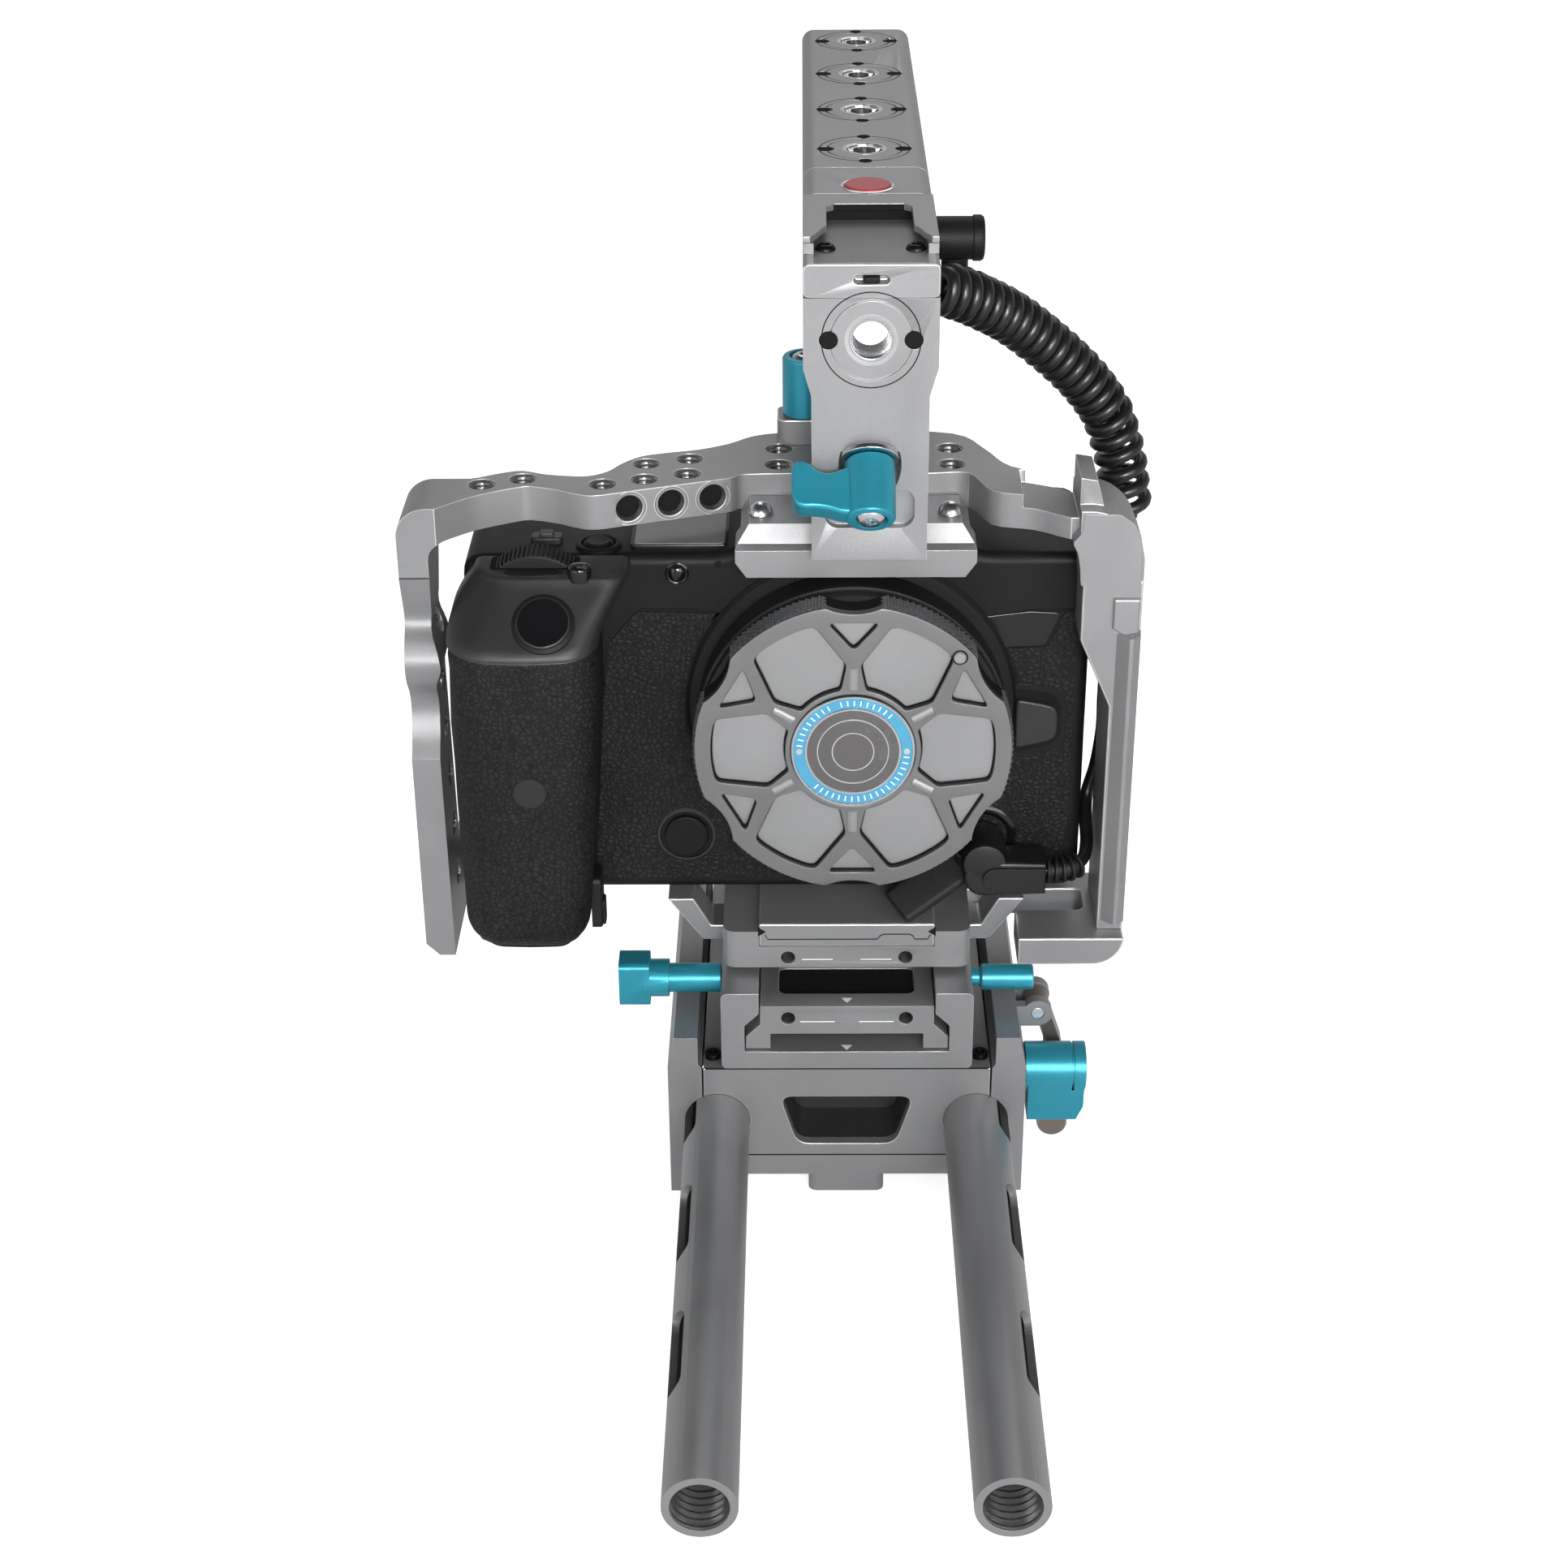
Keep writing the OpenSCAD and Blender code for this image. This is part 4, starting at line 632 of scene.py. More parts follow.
def lens_cap():
    bore = circle(0, 0, CAP_BORE, 64)
    pockets = [spun(PANEL, 60 * i) for i in range(6)] + [spun(TRIANGLE, 60 * i + 30) for i in range(6)]
    web = Shape().plate([cap_outline(), bore] + pockets, CAP_WEB, CAP_FACE @ at(0, 0, -CAP_WEB), 0.22)
    # Sideways faces of the web take dark metal: on the outer rim it matches the dark metal of the cap's side,
    # on the pocket walls it is painted shade.
    web.bm.normal_update()
    for f in web.bm.faces:
        f.material_index = 1 if abs(f.normal.y) < 0.3 else 0
    web.finish("cap_web", ["cap_web", "dark"], "lens_cap", ("lens_cap",), 30)
    behind = CAP_FACE @ at(0, 0, -CAP_WEB - CAP_BACK - 0.04)
    Shape().plate([cap_outline(0.1), bore], CAP_BACK, behind, 0.15).finish(
        "cap_back_plate", "shade", "lens_cap", angle=30)
    Shape().ring(CAP_BORE, 33.6, -9.9, -7.0, 72, CAP_FACE).finish("cap_step", "rubber", "lens_cap")
    panels = [CAP_FACE @ turned(60 * i) for i in range(6)]
    between = [p @ turned(30) for p in panels]
    floor = at(0, 0, -CAP_WEB - 0.2)
    Shape().plate([inset(PANEL, 0.25)], 1.0, floor, 0.3).stamp(
        "cap_pillows", panels, "cap", "lens_cap", 50)
    Shape().plate([inset(TRIANGLE, 0.2)], 1.0, floor, 0.25).stamp(
        "cap_triangles", between, "cap", "lens_cap", 50)
    Shape().disc(1.35, -2.5, 2.5, 20, turned(90, "Y")).stamp(
        "cap_spokes", [p @ at(17.4, 0, -0.95) for p in between], "cap", "lens_cap")
    Shape().lathe([(1.35, -0.3), (1.35, 0.35), (1.1, 0.6), (0, 0.65)], 20, CAP_PIN).finish(
        "cap_pin", "cap", "lens_cap")
    Shape().ring(1.4, 1.75, -0.2, 0.04, 24, CAP_PIN).finish("cap_pin_seat", "shade", "lens_cap")


def medallion():
    band, face = 11.68, 0.2
    Shape().lathe([(13.5, -1.0), (13.5, 0.25), (13.3, 0.45), (12.95, 0.45), (12.8, face), (10.55, face),
                   (10.4, 0.42), (10.0, 0.42), (9.85, 0.15), (9.0, 0.16), (5, 0.34), (0, 0.4)], 72, CAP_FACE,
                  mats=[0, 0, 0, 0, 1, 0, 0, 0, 2, 2, 2]).finish(
        "medallion", ["steel", "medal_blue", "medal_grey"], "lens_cap", ("cap_medallion",), 25)
    angles = [20 + 7 * k for k in range(-9, 10) if k] + [200 + 7 * k for k in range(-9, 10)]
    Shape().prism(rect(-0.13, 0.13, -0.62, 0.62), 0.08, Matrix(), z0=-0.1).stamp(
        "medallion_ticks", [CAP_FACE @ turned(a) @ at(0, band, face) for a in angles], "mark", "lens_cap")
    Shape().lathe([(0.75, -0.1), (0.75, 0.1), (0, 0.16)], 6).stamp(
        "medallion_dots", [CAP_FACE @ at(x, 0, face) for x in (-band, band)], "edge", "lens_cap")
    rings = Shape()
    for r in (7.6, 4.4):
        rings.ring(r, r + 0.22, 0.1, 0.36, 64, CAP_FACE)
    rings.finish("medallion_rings", "edge", "lens_cap")


def cap_knurl():
    """Small pyramids on the rim between the scallops, each row shifted by half a step."""
    count, rows, pitch, half, root, tip = 150, 8, 0.78, 0.78, -0.15, 0.55
    tooth = Shape().loft([[(half, 0, root), (0, half, root), (-half, 0, root), (0, -half, root)],
                          [(0, 0, tip)] * 4], end=False)
    spots = []
    for row in range(rows):
        middle = CAP + Vector((0, 3.7 + (row - (rows - 1) / 2) * pitch, 0))
        spots += ring_places(middle, (0, 1, 0), CAP_R, count, (row % 2) * 180 / count)
    angles = [degrees(atan2(s.translation.z - CAP.z, s.translation.x - CAP.x)) for s in spots]
    tooth.stamp("cap_knurl", [s for s, a in zip(spots, angles) if cap_radius(a) > CAP_R - 0.05], "knurl",
                "lens_cap", 10)


lens_cap()
medallion()
cap_knurl()


# Cage, post and rods: threads are ridged sleeves inside the bores

HANDLE_X, HANDLE_TOP = 4.2, 226
POST_FRONT, POST_HOLE_Z = -37, 206.6
CAGE_TOP_Z = 167
SLIDE_FRONT, RISER_FRONT = -44, -36
ROD_X, ROD_Z, ROD_FRONT = 30, 20, -171
PIN_AT = 8.65
GROOVE = (9.95, 10.2, -0.1, 0.02, 56)
TOP_HOLES = [(-79.1, -15.4), (-70.5, -12.2), (-53, -15.5), (-44.1, -12.7), (-34.9, -9.6), (-44.1, -3.7),
             (-34.7, -0.9)] + [(x, y) for x in (-15, -5, 13, 23) for y in (-4.5, 5)]
FACET_A, FACET_B = Vector((-54, -22, 163)), Vector((-25.4, -12.3, 163))
FACET_ALONG = (FACET_B - FACET_A).normalized()
FACET_OUT = Vector((FACET_ALONG.y, -FACET_ALONG.x, 0))
FACET_PITCH, FACET_SHIFT, FACET_DEPTH = 9.4, 1.6, 2.0
FACET_HOLES = [aim((FACET_A + FACET_B) / 2 + FACET_ALONG * (FACET_SHIFT + i * FACET_PITCH), FACET_OUT)
               for i in (-1, 0, 1)]


def cage_threads():
    Shape().sleeve(3.0, 7.4, 0.9, 0.45).stamp(
        "cage_top_threads", [at(x, y, CAGE_TOP_Z) for x, y in TOP_HOLES], "thread")
    # The front holes: dark thread sleeves and near-black bottoms stand for the shade inside them (painted
    # shade); their rims take the lighter edge finish, painted highlight.
    Shape().sleeve(3.0, FACET_DEPTH - 0.1, 0.7, 0.4).lathe(
        [(2.9, -0.4), (3.7, 0.0), (3.7, 0.04), (2.9, -0.2)], 32, closed=True).stamp(
        "cage_front_threads", FACET_HOLES, "dark")
    Shape().disc(2.9, -FACET_DEPTH - 0.1, 0.05 - FACET_DEPTH, 20).stamp(
        "cage_front_bottoms", FACET_HOLES, "shade")
    Shape().ring(3.7, 3.95, -0.1, 0.05, 32).stamp("cage_front_rims", FACET_HOLES, "edge")
    Shape().sleeve(3.0, 6.3, 0.9, 0.45).stamp(
        "cage_side_threads", [aim((-96.5, -18, 69.1 + 13 * i), (-1, 0, 0)) for i in range(6)], "thread")


def post_face():
    hole = aim((HANDLE_X, POST_FRONT, POST_HOLE_Z), FORWARD)
    Shape().sleeve(4.2, 8.4, 0.9, 0.4, 28).lathe(
        [(4.1, -0.3), (5.45, 0.0), (5.45, 0.04), (5.2, 0.06), (4.1, -0.05)], 44, closed=True).stamp(
        "post_thread", [hole], "steel")
    pins = [aim((HANDLE_X + x, POST_FRONT, POST_HOLE_Z), FORWARD) for x in (-PIN_AT, PIN_AT)]
    Shape().disc(1.9, -0.2, -0.02, 28).stamp("post_pins", pins, "shade")
    Shape().ring(*GROOVE).stamp("post_ring", [hole], "shade")


def plate_and_rod_threads():
    rows = ((SLIDE_FRONT, 47.6), (RISER_FRONT, 58.8))
    Shape().sleeve(1.65, 7, 0.7, 0.3, 16).stamp(
        "plate_threads", [aim((x, y, z), FORWARD) for y, z in rows for x in (-13.4, 13.4)], "dark")
    for side, x in (("left", -ROD_X), ("right", ROD_X)):
        Shape().sleeve(5.9, 16, 1.9, 0.6, 32).stamp(
            "rod_%s_thread" % side, [aim((x, ROD_FRONT + 0.4, ROD_Z), FORWARD)], "thread", "rod_" + side)


cage_threads()
post_face()
plate_and_rod_threads()


# Handle: slotted inserts in the accessory holes, each with a groove and four pins round it

HANDLE_HOLES = [Vector((HANDLE_X, 35.4 + 34 * i, HANDLE_TOP)) for i in range(4)]


def slotted_insert(outer, inner, top, depth, slot=0.26, notch=1.1, sides=48):
    """A threaded bush with two driver notches across its rim."""
    angles = [2 * pi * k / sides for k in range(sides)]
    rim = [(a, top - notch if abs(sin(a)) < slot else top) for a in angles]

    def row(r, z=None):
        return [(r * cos(a), r * sin(a), edge if z is None else z) for a, edge in rim]

    bottom = row(outer, -depth)
    rows = [bottom] + [row(r) for r in (outer, outer - 0.3, inner + 0.3, inner)]
    rows += [row(inner + 0.35 * (k % 2), -2.2 - 0.4 * k) for k in range(5)]
    return Shape().loft(rows + [row(inner, -depth), bottom], start=False, end=False)


def handle_holes():
    places = [at(*p) for p in HANDLE_HOLES]
    pins = ((PIN_AT, 0), (-PIN_AT, 0), (0, 10), (0, -10))
    Shape().ring(*GROOVE).stamp("handle_rings", places, "shade")
    Shape().disc(1.5, -0.1, 0.02, 24).stamp(
        "handle_pins", [p @ at(x, y, 0) for p in places for x, y in pins], "shade")
    slotted_insert(4.12, 2.7, -0.35, 9).lathe(
        [(4.0, -0.3), (5.0, 0.0), (5.0, 0.04), (4.3, 0.06), (4.0, -0.1)], 40, closed=True).stamp(
        "handle_inserts", places, "steel", angle=28)
    Shape().lathe([(5.1, -0.4), (5.1, 0.12), (5.4, 0.25), (5.75, 0.12), (5.75, -0.4)], 48, closed=True).stamp(
        "record_ring", [at(HANDLE_X, 6, HANDLE_TOP)], "steel")


handle_holes()


# Cold shoe: two lips over a T slot, flush with the sides of the handle

SHOE_FLOOR = 222.4


def cold_shoe():
    side, lip, slot, back, end = 13.7, 8.9, 11.6, -7.0, -30.0
    left = [(-side, -0.1), (-side, end), (-side + 1.4, end), (-slot + 0.6, end + 2.6),
            (-lip - 0.8, end + 6.4), (-lip, end + 7.6), (-lip, back - 1.6), (-lip + 1.6, back)]
    outline = [(HANDLE_X + x, y) for x, y in left + [(-x, y) for x, y in reversed(left)]]
    lips = Shape().plate([outline], 1.5, facing("top", 224.5), 0.25)
    for x0, x1, y0, y1 in ((-side, -slot, end, -0.1), (slot, side, end, -0.1), (-slot, slot, back, -0.1)):
        lips.prism(rect(HANDLE_X + x0, HANDLE_X + x1, y0, y1), 2.1, facing("top", SHOE_FLOOR + 0.02))
    lips.finish("shoe_lips", "grey", nodes=("cold_shoe",), angle=30)
    # The slot's floor is a darker grey sheet and its back wall a near-black sheet: painted shade in the slot.
    x0, x1 = HANDLE_X - slot + 0.1, HANDLE_X + slot - 0.1
    Shape().prism(rect(x0, x1, -36.2, back, 0.8), 0.12, facing("top", SHOE_FLOOR), z0=-0.1).finish(
        "shoe_floor", "cap_web")
    wall = facing("front", back)
    Shape().prism(rect(x0, x1, 222.5, 224.5), 0.05, wall, z0=-0.1).prism(
        rect(HANDLE_X - lip + 1.5, HANDLE_X + lip - 1.5, 224.4, 225.8), 0.05, wall, z0=-0.1).finish(
        "shoe_back", "shade")


cold_shoe()


# Thumb levers and screws

LEAN = radians(40)
LEVER_AXIS = Vector((0, -cos(LEAN), -sin(LEAN)))
LEVER_FOOT = Vector((HANDLE_X, -35.5, 181)) + LEVER_AXIS * 1.5
REAR_LEVER = Vector((-9, 11, 173.3))
LEVER_HUB = 12.0


def thumb_lever(name, node, place):
    """A hub with one wing; its outer end is recessed for a screw."""
    hub = [(2.4, -6.0), (2.4, 0.0), (4.9, 0.0), (5.2, 0.3), (5.2, 12.7), (4.9, 13.2), (4.3, 13.4),
           (3.6, 13.4), (3.5, 12.2), (0, 12.2)]
    wing = [(0, 1.4), (4.6, 1.9), (7.0, 3.2), (9.2, 3.7), (11.2, 2.7), (12.6, 1.2), (14.2, 0.5), (15.6, 1.0),
            (16.2, 2.4), (16.3, 6.0), (16.1, 9.2), (15.4, 10.8), (13.8, 11.5), (11.0, 11.4), (8.4, 11.9),
            (5.8, 12.8), (0, 13.1)]
    flat = place @ Matrix(((-1, 0, 0, 0), (0, 0, 1, 0), (0, 1, 0, 0), (0, 0, 0, 1)))
    Shape().lathe(hub, 40, place).prism(soft(wing, 0.9, 2), 2.8, flat, 0.9, 3, both=True, z0=-2.6).finish(
        name, "teal", node, (node,), 32)


thumb_lever("lever_wing_front", "handle_lever", at(*LEVER_FOOT) @ Matrix.Rotation(pi / 2 + LEAN, 4, "X"))
thumb_lever("lever_wing_rear", "rear_lever", at(*REAR_LEVER) @ turned(180))

FRONT_Y, BACK_Y, BODY_TOP, BODY_BOTTOM = -20.0, 20.0, 152, 68
BODY_SCREWS = [aim((x, BACK_Y, z), (0, 1, 0)) for x, z in ((-78, 70.6), (48, 72.6))]
BODY_SCREWS += [aim((x, y, BODY_BOTTOM), (0, 0, -1)) for x, y in ((-60, -6), (46, 10), (46, -12), (-60, 12))]
for name, size, places, finish, body in (
        ("lever_screw_front", (3.4, 1.9, 1.3), [aim(LEVER_FOOT + LEVER_AXIS * LEVER_HUB, LEVER_AXIS)],
         "steel", "handle_lever"),
        ("lever_screw_rear", (3.4, 1.7, 1.3), [at(*REAR_LEVER) @ at(0, 0, LEVER_HUB)], "steel", "rear_lever"),
        ("shoe_screws", (2.1, 1.2, 1.0), [at(HANDLE_X + x, -27.2, SHOE_FLOOR) for x in (-9.2, 9.2)],
         "oxide", STAGE),
        ("arm_screws", (2.4, 1.3, 1.1), [aim((63, -20, z), (1, 0, 0)) for z in (140, 128, 74)],
         "oxide", STAGE),
        ("body_screws", (1.7, 0.7, 0.7), BODY_SCREWS, "oxide", STAGE)):
    Shape().screw_head(*size).stamp(name, places, finish, body)


# Camera body: a rounded slab with a finder hump, open at the back for the screen

BODY_LEFT, BODY_RIGHT, HUMP_TOP = -84, 53.5, 158
BODY = soft([(BODY_LEFT, BODY_BOTTOM), (BODY_RIGHT, BODY_BOTTOM), (BODY_RIGHT, BODY_TOP), (27, BODY_TOP),
             (22, HUMP_TOP), (-20, HUMP_TOP), (-25, BODY_TOP), (BODY_LEFT, BODY_TOP)], 5, 5)


def camera_body():
    front_r, back_r, back_inset = 2.4, 2.0, 1.5
    bend = [radians(a) for a in (90, 68, 45, 22, 0)]
    levels = [(FRONT_Y + front_r * (1 - sin(a)), front_r * (1 - cos(a))) for a in bend]
    levels += [(BACK_Y - back_r * (1 - sin(a)), back_r * (1 - cos(a))) for a in reversed(bend[1:])]
    levels.append((BACK_Y, back_inset))
    rows = [[(x, y, z) for x, z in (inset(BODY, d) if d else BODY)] for y, d in levels]
    shell = Shape().loft(rows, end=False)
    x0, x1, z0, z1 = -26.8, 49.8, 79.7, 134.3
    hinge_x, hinge_z0, hinge_z1, floor_y = 51.9, 87.7, 126.3, 14.0
    recess = [(x0, z0), (x1, z0), (x1, hinge_z0), (hinge_x, hinge_z0), (hinge_x, hinge_z1), (x1, hinge_z1),
              (x1, z1), (x0, z1)]
    shell.loft([[(x, y, z) for x, z in recess] for y in (BACK_Y, floor_y)], start=False)
    rims = [e for e in shell.bm.edges
            if all(abs(v.co.y - BACK_Y) < 1e-6 for v in e.verts) and len(e.link_faces) == 1]
    bmesh.ops.triangle_fill(shell.bm, edges=rims, use_beauty=True)
    shell.finish("camera_shell", "black", nodes=("camera_body",), angle=30)


camera_body()


# Hand grip: pebbled up to the seam, with a smooth head that slopes back to the top plate

GRIP_LEFT, GRIP_RIGHT, GRIP_FRONT, GRIP_BACK = -86.5, -53.5, -43.9, -20.3
SEAM_Z = 137.0


def grip_outline(inset_by, front, x0=GRIP_LEFT, x1=GRIP_RIGHT, r=9.5, r2=8.0):
    """The grip from above, from its back left corner round the front to its back right corner."""
    x0, x1, front = x0 + inset_by, x1 - inset_by, front + inset_by
    r, r2 = max(1.0, r - inset_by), max(1.0, r2 - inset_by)
    out = [(x0, GRIP_BACK), (x0, GRIP_BACK - 4)] + circle(x0 + r, front + r, r, 9, 180, 270)
    out.append(((x0 + r + x1 - r2) / 2, front - 0.25))
    return out + circle(x1 - r2, front + r2, r2, 9, 270, 360) + [(x1, GRIP_BACK - 4), (x1, GRIP_BACK)]


def hand_grip():
    pebbled, smooth = 0, 1
    rows, mats = [], []

    def row(z, inset_by, mat, front=GRIP_FRONT, lean=0.0, **corners):
        outline = grip_outline(inset_by, front, **corners)
        rows.append([(x, y, z + lean * ((x + 70) / 16.5) ** 2) for x, y in outline])
        mats.append(mat)

    def right_edge(z):
        return GRIP_RIGHT - 4.3 * max(0.0, (SEAM_Z - z) / 69) ** 1.2

    row(68.0, 3.8, smooth, x1=right_edge(68))
    row(64.2, 4.6, pebbled, x1=right_edge(68))
    for a in (20, 40, 60, 75, 90):
        z = 71.6 - 7.4 * cos(radians(a))
        row(z, 6.85 - 6.5 * sin(radians(a)), pebbled, x1=right_edge(max(68, z)))
    for z, swell in ((80, 0.0), (90, 0.25), (100, 0.35), (110, 0.3), (120, 0.5), (128, 0.2), (133, 0.0),
                     (136.4, 0.15)):
        row(z, 0.35 - swell, pebbled, x1=right_edge(z))
    row(SEAM_Z, 0.75, pebbled, lean=0.9)
    row(SEAM_Z + 0.3, 0.75, smooth, lean=0.9)
    row(SEAM_Z + 0.7, 0.05, smooth, lean=0.9)
    for f in (k / 8 for k in range(9)):
        row(139.0 + 11.8 * f, 0.0, smooth, GRIP_FRONT + 0.2 + 11.4 * f, 0.7 * (1 - f), r=9.5 - 1.5 * f,
            r2=8.0 - 2 * f, x0=GRIP_LEFT + 5.5 * f ** 1.7, x1=GRIP_RIGHT + 6.2 * f ** 1.2)
    for a in (radians(30), radians(60), radians(90)):
        row(150.8 + 1.5 * sin(a), 1.8 * (1 - cos(a)), smooth, GRIP_FRONT + 11.6, r=8.0, r2=6.0,
            x0=GRIP_LEFT + 5.5, x1=GRIP_RIGHT + 6.2)
    Shape().loft(rows, mats=mats).finish("grip_shell", ["leather", "head"], nodes=("hand_grip",), angle=38)


hand_grip()


# Camera front: leather panel, lamp, lens release and mount collar

FRONT = facing("front", FRONT_Y)
MOUNT = (1, 115.6)
PREVIEW = (-36.6, 82.6)
LAMP = FRONT @ at(-37.2, 147.9, 0)


def camera_front():
    corners = [(44.2, 129.9), (47.6, 138.4), (50.6, 138.9), (50.6, 71.2), (-60, 71.2), (-52.8, 131),
               (-46.5, 138.9), (-27.8, 138.4)]
    outline = soft(corners, 1.2, 3) + circle(*MOUNT, 37.4, 60, 142.5, 382)
    Shape().plate([outline, circle(*PREVIEW, 6.9, 36)], 0.5, facing("front", FRONT_Y + 0.05), 0.12).finish(
        "front_leather", "leather")
    Shape().lathe([(6.9, -1.6), (6.9, 0.3), (6.6, 0.55), (6.1, 0.55), (5.6, -0.9), (5.6, -1.6)], 44,
                  FRONT @ at(*PREVIEW, 0), closed=True).finish("preview_ring", "head")
    Shape().lathe([(2.6, -0.2), (2.6, 0.25), (2.3, 0.4), (2.0, 0.2)], 32, LAMP).lathe(
        [(2.05, 0.1), (1.8, 0.5), (1.2, 0.85), (0.5, 1.0), (0, 1.02)], 28, LAMP).finish("focus_lamp", "gloss")
    Shape().disc(0.75, -0.1, 0.06, 20, FRONT @ at(-28.2, 150, 0)).finish("microphone_hole", "shade")
    shoulder = [(27.6, 136.6), (33.4, 129.9), (43.6, 130.4), (46.9, 138.2), (40, 138.6), (30.6, 137.4)]
    Shape().prism(soft(shoulder, 0.8, 3), 0.45, FRONT, 0.25, 2, z0=-0.2).finish("shoulder_plate", "gloss")
    lines = Shape()
    for pts in ([(-45.6, 139.4), (-30, 138.9), (-25.4, 136.0), (-17.4, 145.4), (-15.5, 150.5)],
                [(52, 139.4), (47.6, 138.9), (38, 138.6), (28.0, 136.0), (20.1, 145.2), (18, 150.5)]):
        lines.tube(smooth_path([Vector((x, FRONT_Y, z)) for x, z in pts], 5), 0.16, 6)
    lines.finish("shoulder_lines", "shade")
    Shape().lathe([(36.9, -0.2), (36.9, 0.5), (36.0, 1.4), (33.1, 1.6), (33.1, -0.2)], 96,
                  at(MOUNT[0], 0, MOUNT[1]) @ FRONT, closed=True).finish("mount_collar", "black")


def lens_release():
    pad = [(37.6, 105.2), (45.8, 107.2), (47.2, 108.6), (47.2, 114.6), (45.8, 116.2), (37.6, 117.9)]
    seat = [(36, 121.2), (46.6, 119.9), (49.2, 117.4), (49.2, 107.6), (46.6, 104.6), (36, 102.2)]
    groove = [(36.2, 119.8), (46.0, 118.6), (47.9, 116.4), (47.9, 108.2), (46.0, 105.8), (36.2, 103.6)]
    Shape().prism(soft(pad, 1.5, 3), 2.0, FRONT, 0.7, 3, z0=-2.2).finish(
        "release_pad", "head", "lens_release", ("lens_release",))
    Shape().plate([soft(seat, 1.6, 3)], 0.6, facing("front", FRONT_Y + 0.02), 0.1).finish(
        "release_seat", "black")
    Shape().plate([soft(groove, 1.6, 3)], 0.12, facing("front", FRONT_Y - 0.56)).finish(
        "release_groove", "shade")


camera_front()
lens_release()


# Camera top: display, button collar, dial, hold slider and shutter

TOP_BUTTON = at(-54.5, -14, BODY_TOP)
GRIP_TOP = facing("top", 152.2)
DIAL = Vector((-67.5, -24.2, 143.2))
SHUTTER_SLOPE = radians(46.0)
SHUTTER = aim((-65, -38.8, 144.44), (0, -sin(SHUTTER_SLOPE), cos(SHUTTER_SLOPE)))


def camera_top():
    top = facing("top", BODY_TOP)
    Shape().prism(rect(-47.5, -26.0, -15.6, 4, 1.2), 0.6, top, 0.2, 2, z0=-0.3).finish(
        "top_display_rim", "gloss")
    Shape().prism(rect(-46.6, -26.8, -14.8, 3.2, 0.8), 0.72, top, 0.05, 1, z0=0.3).finish(
        "top_display", "lcd")
    collar = [(5.0, -0.2), (5.0, 0.5), (4.5, 0.8), (3.9, 0.7), (3.55, -0.2)]
    Shape().lathe(collar, 40, TOP_BUTTON, closed=True).lathe(
        [(3.1, 0.8), (2.6, 1.25), (1.3, 1.0), (0, 0.9)], 32, TOP_BUTTON).finish("top_button_collar", "black")
    Shape().plate([rect(DIAL.x - 9.6, DIAL.x + 9.6, -27.9, -20.6, 1.6)], 0.12, facing("top", 152.28)).finish(
        "dial_slot", "shade")
    rest = [(DIAL.x + 6.4 * x, -29.6 + 1.9 * y) for x, y in circle(0, 0, 1)]
    Shape().prism(rest, 0.35, GRIP_TOP, 0.3, 3, z0=-0.4).finish("dial_rest", "black")
    Shape().prism(rect(-2.9, 2.9, -0.28, 0.28), 0.55, Matrix(), 0.15, 1, z0=-0.3).stamp(
        "dial_ribs", ring_places(DIAL, (0, 1, 0), 11.95, 74), "rubber", "main_dial")
    Shape().prism(rect(-69.5, -62.5, -13.6, -9.6, 1.6), 1.3, GRIP_TOP, 0.5, 3, z0=-0.4).prism(
        rect(-67.6, -64.4, -13.0, -10.2, 0.6), 2.2, GRIP_TOP, 0.4, 2, z0=1.0).finish("hold_slider", "head")
    Shape().lathe([(5.85, -0.6), (5.85, 0.75), (6.7, 0.35), (6.9, -0.6)], 48, SHUTTER, closed=True).finish(
        "shutter_seat", "black")
    Shape().lathe([(5.45, 0.9), (5.78, 0.9), (5.78, 1.12), (5.45, 1.2)], 48, SHUTTER, closed=True).finish(
        "shutter_ring", "head", "shutter_button")
    lo, hi = (Vector(c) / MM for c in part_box("function_button"))
    Shape().lathe([(0, -1.8), (2.6, -1.8), (2.6, 0.5), (2.35, 1.1), (1.7, 1.5), (0, 1.7)], 28,
                  at((lo.x + hi.x) / 2, (lo.y + hi.y) / 2, hi.z)).finish(
        "function_cap", "gloss", "function_button", ("function_button",))


camera_top()


# Grip sensor, battery door and its latch

def grip_details():
    Shape().lathe([(3.6, -0.3), (3.6, 0.42), (3.45, 0.55), (0, 0.6)], 40,
                  aim((-69.3, -43.8, 106.4), FORWARD)).finish("grip_sensor", "inlay")
    latch = facing("right", -57.0)
    Shape().prism(rect(-33.5, -25.5, 65.2, 78.4, 1.6), 1.4, latch, 0.6, 3, z0=-1.0).prism(
        rect(-31.5, -27.5, 65.0, 71.5, 1.0), 2.0, latch, 0.4, 3, z0=0.6).finish("door_latch", "rubber")
    lo, hi = (Vector(c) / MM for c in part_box("battery_door"))
    leaf = rect(lo.x + 0.4, hi.x - 5.2, lo.y + 0.6, hi.y - 0.3, 3.0)
    Shape().prism(leaf, hi.z - 0.05, facing("top", 0), 0.4, 2, z0=lo.z).finish(
        "door_leaf", "black", "battery_door", ("battery_door",))


grip_details()


# Cord ends: the socket on the handle, and the plug with its strain relief and port

SOCKET = Vector((18.05, 4, 215.2))
PORT = (31, 82)


def cord_socket():
    Shape().lathe([(4.6, 0.0), (4.6, 8.6), (4.9, 8.8), (4.9, 10.4), (4.5, 11.0), (3.8, 11.2), (0, 11.2)], 40,
                  aim(SOCKET, (1, 0, 0))).lathe(
        [(2.6, -7.4), (2.9, -6.8), (2.9, -4.0)], 28, at(CORD_START[0].x, SOCKET.y, SOCKET.z)).finish(
        "cord_socket_shell", "black", nodes=("cord_socket",), angle=40)


